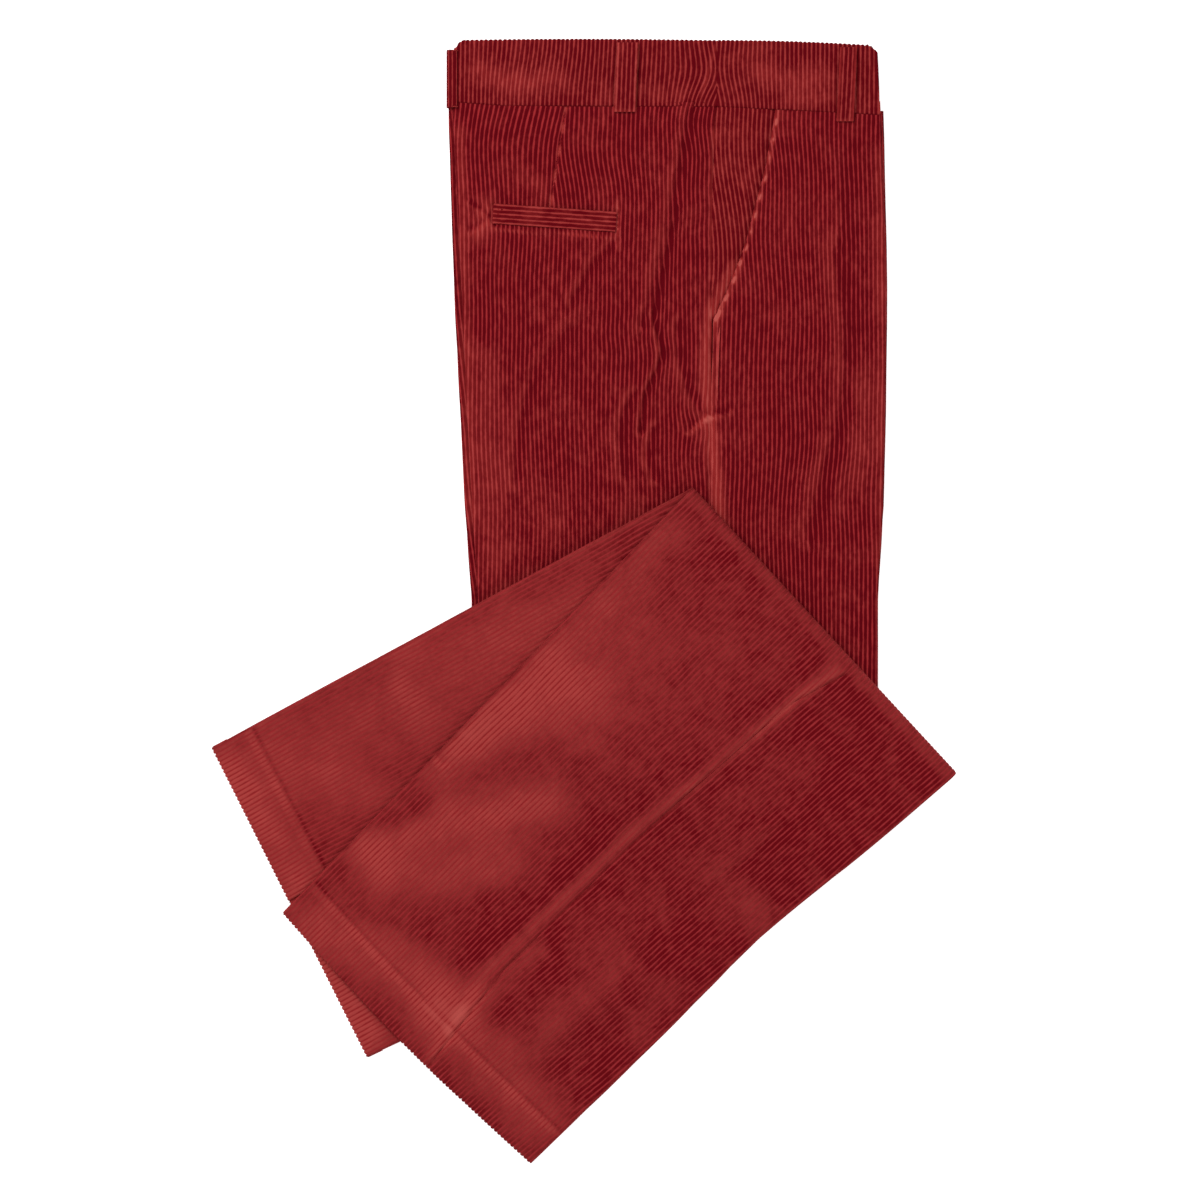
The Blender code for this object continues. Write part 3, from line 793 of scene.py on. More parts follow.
SEAT_LEANS = (
    Lean(-62.0, 362.0, 34.0, 12.0), Lean(-6.0, 352.0, 30.0, 7.0), Lean(55.0, 372.0, 26.0, 8.0),
    Lean(86.0, 366.0, 20.0, 12.0), Lean(60.0, 312.0, 26.0, -4.0), Lean(22.0, 318.0, 22.0, -5.0),
    Lean(-50.0, 258.0, 32.0, 4.0), Lean(55.0, 190.0, 16.0, -9.0), Lean(24.0, 192.0, 14.0, -6.0),
    Lean(82.0, 136.0, 14.0, -14.0), Lean(82.0, 96.0, 18.0, -5.0), Lean(0.0, 110.0, 60.0, -2.0),
    Lean(-50.0, 90.0, 60.0, -2.0), Lean(80.0, 320.0, 22.0, 5.0), Lean(84.0, 283.0, 14.0, 4.0),
)
FRONT_LEANS = (
    Lean(118.0, 345.0, 30.0, -10.0), Lean(150.0, 330.0, 40.0, -8.0), Lean(150.0, 260.0, 50.0, -6.0),
    Lean(195.0, 300.0, 50.0, -4.0), Lean(175.0, 220.0, 50.0, -4.0), Lean(140.0, 85.0, 40.0, 3.0),
    Lean(178.0, 100.0, 34.0, 6.0),
)


def wander(x: Array, y: Array) -> Array:
    """Slight waviness of the wales, in millimetres."""
    slow = 0.55 * np.sin(x / 23.0 + 1.3 * np.sin(y / 61.0)) * np.sin(y / 37.0 + x / 90.0)
    return slow + 0.28 * np.sin(y / 14.0 + x / 11.0) * np.sin(x / 31.0 - y / 47.0)


def swell(x: Array, y: Array) -> Array:
    """Slight swell of cloth that lies loose, in millimetres, never above 0."""
    wave = np.sin(x / 27.0 + 1.9 * np.sin(y / 71.0)) * np.sin(y / 43.0 - x / 85.0)
    return 0.32 * (wave - 1.0)


def turned(surface: Surface, at_end: bool, along_rows: bool, thick: float = CLOTH,
           reach: float = 6.0, ribs: float = 0.0) -> Surface:
    """Turn an edge of the cloth in, round its own thickness and back beneath.

    Args:
        surface: the cloth.
        at_end: whether it is the last row or column, not the first.
        along_rows: whether the edge is a row, not a column.
        thick: thickness of the turned edge, in millimetres.
        reach: how far it goes back beneath, in millimetres.
        ribs: how far the ribs stand out past the edge, in millimetres.

    Returns:
        The cloth with its turned edge.
    """
    normal = surface.normals()
    fields = [surface.points, surface.wale, surface.along, surface.sheen_and_shade, normal]
    if not along_rows:
        fields = [np.swapaxes(f, 0, 1) for f in fields]
    if not at_end:
        fields = [f[::-1] for f in fields]
    points, wale, along, sheen_and_shade, normal = fields
    heading = points[-1] - points[-2]
    heading = heading / np.maximum(np.linalg.norm(heading, axis=1, keepdims=True), 1e-9)
    # Cloth that already lies beneath keeps flat, so that it stays out of sight
    main = np.median(normal[-1], axis=0)
    kept = np.clip(normal[-1] @ main, 0.06, 1.0)[:, None]
    radius = kept * thick / 2.0
    cycle = np.abs((wale[-1] / WALE) % 1.0 - 0.5) * 2.0
    points = points.copy()
    points[-1] += heading * (ribs * np.sqrt(1.0 - cycle ** 2))[:, None]
    rows = [points]
    for share in (0.17, 0.33, 0.5, 0.7, 0.85, 1.0):
        angle = share * math.pi
        rows.append((points[-1] + heading * radius * math.sin(angle)
                     - normal[-1] * radius * (1.0 - math.cos(angle)))[None])
    rows.append((points[-1] - heading * reach - normal[-1] * 2.0 * radius)[None])
    more = len(rows) - 1
    points = np.concatenate(rows)
    wale = np.concatenate([wale] + [wale[-1:]] * more)
    steps = np.array([0.4, 0.8, 1.2, 1.7, 2.1, 2.4, 2.4 + reach])[:more, None]
    along = np.concatenate([along, along[-1:] + steps])
    sheen_and_shade = np.concatenate([sheen_and_shade] + [sheen_and_shade[-1:]] * more)
    made = [points, wale, along, sheen_and_shade]
    if not at_end:
        made = [f[::-1] for f in made]
    if not along_rows:
        made = [np.swapaxes(f, 0, 1) for f in made]
    return Surface(*[np.ascontiguousarray(f) for f in made], flip=surface.flip)


def faced(surface: Surface, up: bool, column: int) -> Surface:
    """Flip the cloth if its face at a column looks the wrong way.

    Args:
        surface: the cloth.
        up: whether its face looks up there.
        column: the column to look at.

    Returns:
        The same surface.
    """
    looks = float(np.mean(surface.normals()[:, column, 2]))
    surface.flip = (looks < 0.0) == up
    return surface


def seam_height(x: Array) -> Array:
    """y of the waistband's seam at x."""
    return np.interp(x, [p[0] for p in WAIST_SEAM], [p[1] for p in WAIST_SEAM])


def f1_height(x: Array) -> Array:
    """y of the first fold's line at x."""
    (ax, ay), (bx, by) = FOLD1
    return ay + (by - ay) * (x - ax) / (bx - ax)


def rows_between(dense_to: float, dense: float, coarse: float, total: float) -> Array:
    """Shares from 0 to 1, close together at first and wider apart where nothing shows.

    Args:
        dense_to: share where the close rows end.
        dense: spacing of the close rows, in millimetres.
        coarse: spacing of the rest.
        total: whole length, in millimetres.

    Returns:
        The shares, from first to last.
    """
    close = np.linspace(0.0, dense_to, max(2, round(dense_to * total / dense)))
    wide = np.linspace(dense_to, 1.0, max(2, round((1.0 - dense_to) * total / coarse)))
    return np.concatenate([close, wide[1:]])


@dataclass
class BodyPanel:
    """Cloth of the seat or front, from the waistband's seam to the first fold.

    Columns run from the edge (or inner line) on the left to the one on the
    right; a rolled edge goes half round and a little way back.
    """

    left: Sequence[float]
    right: Sequence[float]
    roll_left: bool
    roll_right: bool
    up: bool
    leans: Sequence[Lean] = ()
    top_above_seam: float = 2.0
    end: Optional[float] = None
    column_mm: float = 0.62
    row_mm: float = 2.6
    hidden_mm: float = 9.0
    dense_to: float = 0.84
    flap: float = 8.0
    wale_shift: float = 0.0
    fold_radius: float = 0.0        # outer radius round the first fold, 0 to stop at it
    base: float = 0.0               # height of the outer face, for cloth that looks down
    inset: float = 0.0              # how far in from its lines this layer's sides are
    relief: Sequence[Crease] = ()
    sheen_patches: Sequence[BrushedSheen] = ()
    seams: Sequence[tuple[tuple[Point, ...], float, float]] = ()     # path, depth, width
    extra: Optional[Rule] = None
    split: Optional[Rule] = None

    def build(self) -> Surface:
        """Lay the grid out and shape it.

        Returns:
            The panel's cloth.
        """
        count = max(4, round(float(np.mean(self.right) - np.mean(self.left)) / self.column_mm))
        turn = np.arange(1, 9) / 8.0 * math.pi * EDGE
        beyond = np.concatenate([turn, math.pi * EDGE + np.array([0.5, 1.0]) * self.flap])
        past_left = beyond[::-1] if self.roll_left else np.zeros(0)
        past_right = beyond if self.roll_right else np.zeros(0)
        share = np.concatenate([np.zeros(len(past_left)), np.linspace(0.0, 1.0, count),
                                np.ones(len(past_right))])
        past = np.concatenate([-past_left, np.zeros(count), past_right])
        x, y = self.lay_out(share)
        reach, drop = roll(np.abs(past), EDGE)
        across = x + np.sign(past) * reach[None, :]
        flat_x = x + past[None, :]
        out, shift, sheen_and_shade = self.shape(x, y, flat_x, across)
        wale = flat_x + self.wale_shift + wander(flat_x, y) + shift
        lift = smooth((y - LIFT_END) / LIFT_LENGTH)
        z = level(3) + CLOTH + TOP_LIFT * lift if self.up else self.base + SIDE_LIFT * lift
        sign = 1.0 if self.up else -1.0
        keep = bell(np.minimum(np.abs(past), 2.0 * EDGE_FADE), EDGE_FADE)[None, :]
        proud = np.minimum(out + swell(x, y) * SHALLOW, HIGHEST if self.up else 0.0)
        z = z - sign * drop[None, :] + sign * proud * keep
        made = Surface(np.stack(self.folded(across, y, z), axis=-1), wale, -y, sheen_and_shade)
        middle = len(past_left) + count // 2
        made.flip = (float(np.mean(made.normals()[:20, middle, 2])) < 0.0) == self.up
        return made

    def lay_out(self, share: Array) -> tuple[Array, Array]:
        """Rows and columns between the panel's lines.

        Args:
            share: each column's place, from 0 at the left line to 1 at the right.

        Returns:
            x and y of every point.
        """
        rows = rows_between(self.dense_to, self.row_mm, self.hidden_mm, 460.0)
        x = np.broadcast_to(np.linspace(np.mean(self.left), np.mean(self.right), len(share)),
                            (len(rows), len(share))).copy()
        y = np.zeros_like(x)
        for _ in range(4):
            top = seam_height(x) + self.top_above_seam
            low = f1_height(x) - self.turn_length() if self.end is None else self.end + 0.0 * x
            y = top + (low - top) * rows[:, None]
            start = at_height(self.left, y) + self.inset + (EDGE if self.roll_left else 0.0)
            stop = at_height(self.right, y) - self.inset - (EDGE if self.roll_right else 0.0)
            x = start + (stop - start) * share[None, :]
        return x, y

    def shape(self, x: Array, y: Array, flat_x: Array, across: Array
              ) -> tuple[Array, Array, Array]:
        """Work out the panel's relief.

        Args:
            x: x of each column's own line.
            y: y of the points.
            flat_x: x of the cloth unrolled.
            across: x of the cloth rolled.

        Returns:
            How far the cloth stands out, the wales' sideways shift, and the painted sheen and
            shade.
        """
        out, shift, sheen_and_shade = pressed(self.relief, self.sheen_patches, x, y, across)
        for lean in self.leans:
            shift = shift + lean.shift(flat_x, y)
        for path, depth, wide in self.seams:
            out = out - depth * bell(to_path(x, y, path)[0], wide)
        if self.extra is not None:
            out = out + self.extra(x, y)
        if self.split is not None:
            shift = shift + self.split(flat_x, y)
        return out - SEAM_SINK * bell(y - seam_height(x), SEAM_WIDTH), shift, sheen_and_shade

    def turn_length(self) -> float:
        """How far the flat cloth runs on past the first fold's line, in millimetres.

        Cloth that isn't turned up there stops short, inside the roll of the cloth beneath.

        Returns:
            The length, less than 0 where the cloth stops short.
        """
        if not self.fold_radius:
            return -STOP_SHORT
        return (math.pi - 1.0) * self.fold_radius + self.flap

    def folded(self, x: Array, y: Array, z: Array) -> tuple[Array, Array, Array]:
        """Carry the cloth up and half round the first fold, if it goes that far.

        Args:
            x: x of the flat cloth.
            y: y of the flat cloth.
            z: its height.

        Returns:
            The folded cloth's coordinates.
        """
        if not self.fold_radius:
            return x, y, z
        away = normal_of(FOLD1, (100.0, 100.0))
        past = ((x - FOLD1[0][0] + away[0] * FOLD_OUTER) * away[0]
                + (y - FOLD1[0][1] + away[1] * FOLD_OUTER) * away[1])
        x, y, below = over_fold(x, y, past, FOLD_OUTER - z, away, self.fold_radius)
        return x, y, np.where(past > 0.0, FOLD_OUTER - below, z)


SIDE_LINE = tuple(zip(SIDE_SEAM, BODY_HEIGHTS))


def dart_split(x: Array, y: Array) -> Array:
    """Lean of the wales toward the dart on both of its sides, in millimetres.

    Args:
        x: x of the points.
        y: y of the points.

    Returns:
        The lean at each point.
    """
    line = np.interp(y, (DART[1][1], DART[0][1]), (DART[1][0], DART[0][0]))
    above = np.maximum(y - DART[1][1], 0.0)
    near = np.exp(-((x - line) / 42.0) ** 2)
    return np.where(x < line, -0.105, 0.075) * above * near


@dataclass
class Strip:
    """A flat strip of cloth with its edges turned: a waistband length, a loop, a welt or a facing.

    The strip runs from its head to its tail; left and right are the two sides of
    each row, and the wales run along it or, for a waistband, across it.
    """

    head: Line                      # left and right corners at the head
    tail: Line                      # left and right corners at the tail
    top: Rule                       # height of the outer face
    up: bool = True
    thick: float = CLOTH
    turn_sides: tuple[bool, bool] = (True, True)
    turn_ends: tuple[bool, bool] = (True, True)
    column_mm: float = 0.62
    row_mm: float = 2.2
    reach: float = 4.0
    wale: Optional[Rule] = None
    corner: float = 0.0
    corner_right: bool = False
    sheen_patches: Sequence[BrushedSheen] = ()
    relief: Optional[Rule] = None
    bow: float = 0.0
    ribs: float = 0.0
    follow: bool = False            # whether the tail follows the waistband's seam
    leans: Sequence[Lean] = ()

    def build(self) -> Surface:
        """Lay the strip out, shape it and turn its edges.

        Returns:
            The strip's cloth.
        """
        width = math.dist(*self.head)
        length = math.dist(self.head[0], self.tail[0])
        across = np.linspace(0.0, 1.0, max(5, round(width / self.column_mm)))[None, :]
        down = np.linspace(0.0, 1.0, max(4, round(length / self.row_mm)))[:, None]
        corners = [np.array(p) for p in (*self.head, *self.tail)]
        spot = [(1 - down) * ((1 - across) * corners[0][k] + across * corners[1][k])
                + down * ((1 - across) * corners[2][k] + across * corners[3][k]) for k in (0, 1)]
        x, y = spot
        y = y + self.bow * (1 - down) * np.sin(math.pi * across)
        if self.follow:
            straight = corners[2][1] + across * (corners[3][1] - corners[2][1])
            y = y + down * (seam_height(x) - straight)
        if self.corner:
            near = (1.0 - across if self.corner_right else across) * width
            cut = np.clip(self.corner - near, 0.0, 0.93 * self.corner)
            y = y - (1 - down) * (self.corner - np.sqrt(self.corner ** 2 - cut ** 2)) * 0.8
        z = self.top(x, y) + 0.0 * across
        sign = 1.0 if self.up else -1.0
        if self.relief is not None:
            z = z + sign * self.relief(x, y)
        wale = self.wale(x, y) if self.wale is not None else (across - 0.5) * width + 0.0 * down
        for lean in self.leans:
            wale = wale + lean.shift(x, y)
        sheen_and_shade = np.zeros_like(x)
        for patch in self.sheen_patches:
            sheen_and_shade = sheen_and_shade + patch.sheen_and_shade(x, y)
        made = Surface(np.stack([x, y, z], axis=-1), wale, down * length + 0.0 * across, sheen_and_shade)
        made = faced(made, self.up, made.wale.shape[1] // 2)
        if self.turn_sides[0]:
            made = turned(made, False, False, self.thick, self.reach)
        if self.turn_sides[1]:
            made = turned(made, True, False, self.thick, self.reach)
        if self.turn_ends[0]:
            made = turned(made, False, True, self.thick, self.reach, self.ribs)
        if self.turn_ends[1]:
            made = turned(made, True, True, self.thick, self.reach)
        return made


# ---------------------------------------------------------------- legs

# Place of the seam on top: share of the leg's length, share of its width
SIDE_SHARE = ((0.0, 0.622), (0.11, 0.58), (0.2, 0.572), (0.45, 0.56), (0.8, 0.556), (1.0, 0.60))
INSEAM_SHARE = ((0.0, 0.5), (1.0, 0.5))
NARROWEST, NARROW_REACH = 0.42, 0.2         # where the pressed edge draws in, share of the leg
BOW_START = 0.8                             # where the hem starts to bow
LEG_PROUD, LEG_SWELL = 0.3, 0.8             # most that the leg stands proud; share of its swell
UNDER_SHEEN = 0.25                            # painted sheen of the faces beneath
HEM_REACH, HEM_RIBS = 12.0, 0.9             # how far the hem goes in, and its ribs stand out
SETTLE = 8.0                                # over which the fold settles on what lies beneath


@dataclass
class LegHalf:
    """Cloth of one half of a leg, from a seam on top, round the pressed edge, to the seam below.

    The rows run from the hem to the second fold, half round it, and on through
    the layers beneath to the first fold. Everything is laid out on the leg
    unfolded flat and then folded.
    """

    stations: Sequence[tuple[float, Point, Point]]
    fold: Line
    middle_end: Line                # left and right points near the first fold
    seam: Sequence[Point]
    edge: Edge
    floor: Rule
    middle: float = 14.25           # height of the second fold's centre
    radius: float = FOLD_OUTER
    grain: Point = (-0.72, -0.695)  # the way the wales run
    wale_start: float = 0.0
    column_mm: float = 0.62
    row_mm: float = 2.7
    under_mm: float = 1.1
    middle_mm: float = 12.0
    bow: float = HEM_BOW
    inward: float = 0.0             # how far the pressed edge draws in near mid leg
    relief: Sequence[Crease] = ()
    sheen_patches: Sequence[BrushedSheen] = ()
    turned_sheen: float = 0.0         # painted sheen all over the leg, where its pile would face the light

    def build(self) -> Surface:
        """Lay the leg out flat, fold it and turn its hem in.

        Returns:
            The leg's cloth.
        """
        away = normal_of(self.fold, self.stations[-1][1])
        rows, left, right = self.lay_out(away)
        share = np.interp(rows, *zip(*self.seam))[:, None]
        seam_at = left * (1.0 - share) + right * share
        edge_at = right if self.edge is Edge.RIGHT else left
        bend = self.inward * bell(rows - NARROWEST, NARROW_REACH)[:, None]
        edge_at = edge_at + (seam_at - edge_at) * bend / np.linalg.norm(
            seam_at - edge_at, axis=1, keepdims=True)
        width = np.linalg.norm(edge_at - seam_at, axis=1)[:, None]
        ahead = (edge_at - seam_at) / width
        # Flat distance from the seam on top: over the face, round the edge and back beneath
        run = width - EDGE
        typical = float(np.mean(run[rows >= 0.0]))
        top = np.linspace(0.0, 1.0, round(typical / self.column_mm))
        turn = np.arange(1, 9) / 8.0 * math.pi * EDGE
        under = np.linspace(0.0, 1.0, round(typical / self.under_mm))[1:]
        u = np.concatenate([run * top, run + turn, run + math.pi * EDGE + HALF_HEM * under], axis=1)
        reach, drop = roll(u - run, EDGE)
        spot = run + reach
        # Along the hem the cloth bows outward a little
        along = np.clip(self.edge.value * spot / HEM + share, 0.0, 1.0)
        bowed = self.bow * np.sin(math.pi * along) * smooth(
            (rows[:, None] - BOW_START) / (1.0 - BOW_START))
        fx = seam_at[:, :1] + ahead[:, :1] * spot - away[0] * bowed
        fy = seam_at[:, 1:] + ahead[:, 1:] * spot - away[1] * bowed
        # Flat coordinates for the wales, unrolled across
        ux = seam_at[:, :1] + ahead[:, :1] * u
        uy = seam_at[:, 1:] + ahead[:, 1:] * u
        wale = ux * self.grain[1] - uy * self.grain[0] + self.wale_start
        wale = wale + wander(ux * 0.9 + 40.0, uy * 0.9 + rows[:, None] * 9.0)
        x, y, z, past = self.folded(fx, fy, drop, away)
        # Creases and swell, only on the face that shows
        face = bell(np.maximum(u - run + 2.0, 0.0), 2.0) * smooth(-past / 6.0)
        out, crowd, sheen_and_shade = self.shape(fx, fy, u, (1.0 - rows[:, None]) * self.length())
        z = z + np.minimum(out, LEG_PROUD) * face
        sheen_and_shade = sheen_and_shade * face + UNDER_SHEEN * (1.0 - face)
        down_leg = ux * self.grain[0] + uy * self.grain[1]
        made = Surface(np.stack([x, y, z], axis=-1), wale + crowd * face, down_leg, sheen_and_shade)
        looks = made.normals()[:len(rows) // 2, 2:12, 2]
        made.flip = float(np.mean(looks)) < 0.0
        return turned(made, False, True, CLOTH, HEM_REACH, HEM_RIBS)

    def length(self) -> float:
        """Length of the lower leg along its left edge, in millimetres."""
        return math.dist(self.stations[0][1], self.stations[-1][1])

    def fold_line(self, away: Point) -> list[Point]:
        """Line where the lower leg starts to turn round the second fold."""
        return [(p[0] - away[0] * self.radius, p[1] - away[1] * self.radius) for p in self.fold]

    def lay_out(self, away: Point) -> tuple[Array, Array, Array]:
        """Rows down the leg unfolded flat.

        Args:
            away: unit vector across the second fold, away from the lower leg.

        Returns:
            Each row's place, from 1 at the hem through 0 at the second fold to -2
            near the first, and the points on its left and right edges.
        """
        line = self.fold_line(away)
        turn = math.pi * (self.radius - EDGE)
        sides = []
        for k in (1, 2):
            first = np.array(self.stations[0][k])
            heading = np.array(self.stations[1][k]) - first
            start = first + heading / np.linalg.norm(heading) * self.radius
            end = self.middle_end[k - 1]
            inside = -((end[0] - line[0][0]) * away[0] + (end[1] - line[0][1]) * away[1])
            shift = 2.0 * inside + turn
            sides.append([(end[0] + away[0] * shift, end[1] + away[1] * shift),
                          start + np.array(away) * turn, start]
                         + [station[k] for station in self.stations[1:]])
        middle_length = max(math.dist(side[0], side[1]) for side in sides)
        rows = np.concatenate([
            np.linspace(1.0, 0.0, round(self.length() / self.row_mm)),
            np.linspace(0.0, -1.0, 15)[1:],
            np.linspace(-1.0, -2.0, max(3, round(middle_length / self.middle_mm)))[1:]])
        places = [-2.0, -1.0, 0.0] + [station[0] for station in self.stations[1:]]
        left, right = (np.stack([np.interp(rows, places, [p[k] for p in side]) for k in (0, 1)],
                                axis=-1) for side in sides)
        return rows, left, right

    def folded(self, x: Array, y: Array, drop: Array, away: Point
               ) -> tuple[Array, Array, Array, Array]:
        """Set the lower leg on what it lies on, and carry the rest half round the second fold.

        Args:
            x: x of the flat cloth.
            y: y of the flat cloth.
            drop: how far it lies below the leg's top face.
            away: unit vector across the second fold.

        Returns:
            The cloth's coordinates, and how far past the fold's line it lay.
        """
        line = self.fold_line(away)
        past = (x - line[0][0]) * away[0] + (y - line[0][1]) * away[1]
        outer = self.radius - drop
        x, y, over = over_fold(x, y, past, outer, away, self.radius - EDGE)
        lower = self.floor(x, y) + TUBE - drop
        ease = smooth(-past / SETTLE)
        z = np.where(past > 0.0, self.middle + over,
                     ease * lower + (1.0 - ease) * (self.middle + outer))
        return x, y, z, past

    def shape(self, x: Array, y: Array, from_seam: Array, from_hem: Array
              ) -> tuple[Array, Array, Array]:
        """Work out the relief of the face that shows.

        Args:
            x: x of the flat cloth.
            y: y of the flat cloth.
            from_seam: distance from the seam on top.
            from_hem: distance from the hem.

        Returns:
            How far the cloth stands out, the wales' sideways shift, and the painted sheen and
            shade.
        """
        out, crowd, sheen_and_shade = pressed(self.relief, self.sheen_patches, x, y, x)
        out = out + swell(x, y) * LEG_SWELL - 1.1 * bell(from_seam, 1.3) + 0.25 * bell(
            from_seam - 4.0, 2.5)
        # The turn-up's own edge, inside, presses a line through: a shallow groove, with painted
        # shade on it and a painted highlight band beside it, toward the hem
        inside = from_hem - HEM_TURN
        sheen_and_shade = sheen_and_shade + self.turned_sheen + 0.24 * bell(inside + 4.5, 2.8) - 0.28 * bell(inside, 1.3)
        return out - 0.5 * bell(inside, 1.8), crowd, sheen_and_shade


# ---------------------------------------------------------------- the trousers' parts


@dataclass
class Finishes:
    """The cloth with its pile pointing down, a copy with painted sheen turned over at the folds,
    and the trim.

    Turned upside down the pile would face the light: the copy paints its brushed ribs
    paler than the valleys.
    """

    cloth: Finish = field(default_factory=lambda: Finish(Corduroy(
        "8-wale cut-pile cotton corduroy", valley_sheen="#98272A", mottle=0.78).material(), "corduroy"))
    upturned_sheen: Finish = field(default_factory=lambda: Finish(Corduroy(
        "8-wale cut-pile cotton corduroy, pile upward, painted sheen", rib="#60040D", valley_sheen="#92282C",
        brushed_rib_sheen="#A03A37", brushed_valley_sheen="#8A2123", mottle=0.6).material(), "corduroy"))
    trim: Finish = field(default_factory=lambda: Finish(Corduroy(
        "8-wale cotton corduroy, pressed trim", rib="#5A000A",
        valley_sheen="#98302E").material(), "corduroy_trim"))


WELT_CENTRE = (-22.2, 284.8)
WELT_SIZE = (91.0, 14.2)
WELT_TILT = -3.9


def welt_corner(along: float, across: float) -> Point:
    """A point of the welt, from -0.5 to 0.5 of its size each way.

    Args:
        along: share of its length.
        across: share of its width.

    Returns:
        The point, in millimetres.
    """
    turn = math.radians(WELT_TILT)
    u, v = along * WELT_SIZE[0], across * WELT_SIZE[1]
    return (WELT_CENTRE[0] + u * math.cos(turn) - v * math.sin(turn),
            WELT_CENTRE[1] + u * math.sin(turn) + v * math.cos(turn))


WELT_SEAMS = (
    ((welt_corner(-0.5, 0.56), welt_corner(0.5, 0.56)), 1.9, 1.5),
    ((welt_corner(-0.5, -0.54), welt_corner(0.5, -0.54)), 0.9, 1.3),
    ((welt_corner(-0.51, 0.5), welt_corner(-0.51, -0.5)), 0.9, 1.3),
    ((welt_corner(0.51, 0.5), welt_corner(0.51, -0.5)), 0.8, 1.3),
)
BACK_SEAMS = WELT_SEAMS + ((DART, 1.2, 1.3), (SIDE_LINE, 1.1, 1.5))
FRONT_SEAMS = ((SIDE_LINE[6:], 1.1, 1.5),)


def flat_at(height: float) -> Rule:
    """A face that lies flat at a height."""
    return lambda x, y: height + 0.0 * x * y


def facing_dip(x: Array, y: Array) -> Array:
    """The facing drops under the pocket mouth."""
    return -1.9 * smooth((x - at_height(POCKET, y) + 7.0) / 8.0)


@dataclass
class Seat:
    """Seat and front cloth of both halves, with their pocket facings and inner layers."""

    finishes: Finishes

    def build(self) -> None:
        """Make the left half on the surface, the inner layers and the right half on top."""
        self.half("left", UNDER_BACK, UNDER_FRONT, False, [], ((215.0, 500.0), (138.0, 545.0)))
        self.inner()
        self.half("right", TOP_BACK, TOP_FRONT, True, ["hidden_layers"],
                  ((212.0, 475.0), (136.0, 520.0)))

    def half(self, side: str, back: Sequence[float], front: Sequence[float], up: bool,
             rests_on: Sequence[str], cuts: Sequence[Point]) -> None:
        """Make the panels and the facing of one half.

        Args:
            side: the wearer's right or left.
            back: x of the centre back's edge at each of BODY_HEIGHTS.
            front: x of the centre front's edge.
            up: whether the half faces up, in view.
            rests_on: what it lies on; not used.
            cuts: flat sizes of the back and the front; not used.
        """
        mesh = {} if up else dict(column_mm=1.1, row_mm=4.4)
        turn = {} if up else dict(hidden_mm=2.6, dense_to=0.88, fold_radius=FOLD_OUTER)
        lip = tuple((x + 1.5, y) for x, y in zip(POCKET[:7], BODY_HEIGHTS))
        lit = (BrushedSheen(lip, 1.6, 0.3), RibEndHighlights(lip, 1.3, 1.35, 13.5, 0.42)) if up else ()
        panels = (
            BodyPanel(back, SIDE_SEAM, True, False, up, leans=SEAT_LEANS, relief=CREASES,
                      sheen_patches=SEAT_SHEEN, seams=BACK_SEAMS, split=dart_split, **mesh, **turn),
            BodyPanel(POCKET[:7] + SIDE_SEAM[7:], front, False, True, up, leans=FRONT_LEANS,
                      relief=CREASES, sheen_patches=SEAT_SHEEN + lit, seams=FRONT_SEAMS, wale_shift=1.1,
                      **mesh, **turn))
        for name, panel, at_end, cut in zip(("back", "front"), panels, (True, False), cuts):
            sheet = turned(panel.build(), at_end, False, CLOTH, 5.0).ribbed()
            add_piece(f"{side}_{name}_cloth", [sheet], self.finishes.cloth,
                      [f"{side}_{name}_panel"])
        facing = BodyPanel(SIDE_SEAM, tuple(x + 5.0 for x in POCKET), False, False, up,
                           leans=(Lean(110.0, 300.0, 60.0, -9.0),), end=POCKET_END, dense_to=0.97,
                           extra=facing_dip, sheen_patches=SEAT_SHEEN[1:2] if up else (), wale_shift=0.5,
                           seams=((SIDE_LINE, 1.1, 1.5),), **mesh)
        add_piece(f"{side}_pocket_facing_cloth", [facing.build().ribbed()], self.finishes.trim,
                  [f"{side}_pocket_facing"])

    def inner(self) -> None:
        """The inner layers between the two halves, turned up at the first fold."""
        layers = [BodyPanel(TOP_BACK, TOP_FRONT, False, False, False, column_mm=2.2, row_mm=8.0,
                            hidden_mm=2.6, dense_to=0.88, base=level(number), inset=12.0,
                            fold_radius=radius, flap=14.0, top_above_seam=-8.0).build()
                  for number, radius in enumerate(FOLD_INNER, start=1)]
        add_piece("inner_layers", layers, self.finishes.cloth, ["hidden_layers"])


BAND_LEANS = (Lean(-40.0, 395.0, 40.0, 9.0), Lean(40.0, 395.0, 50.0, 4.0))
# Painted sheen on the waistband
BAND_SHEEN = patches(
    (9.0, 0.5, (-80.0, 396.0), (-58.0, 384.0), (-18.0, 388.0)),
    (6.0, 0.3, (20.0, 380.0), (70.0, 376.0)),
    (9.0, 0.45, (130.0, 392.0), (150.0, 386.0), (176.0, 388.0)),
    (5.0, 0.35, (150.0, 372.0), (190.0, 374.0)),
    (1.6, 0.5, (97.0, 412.0), (86.0, 372.0)),
)


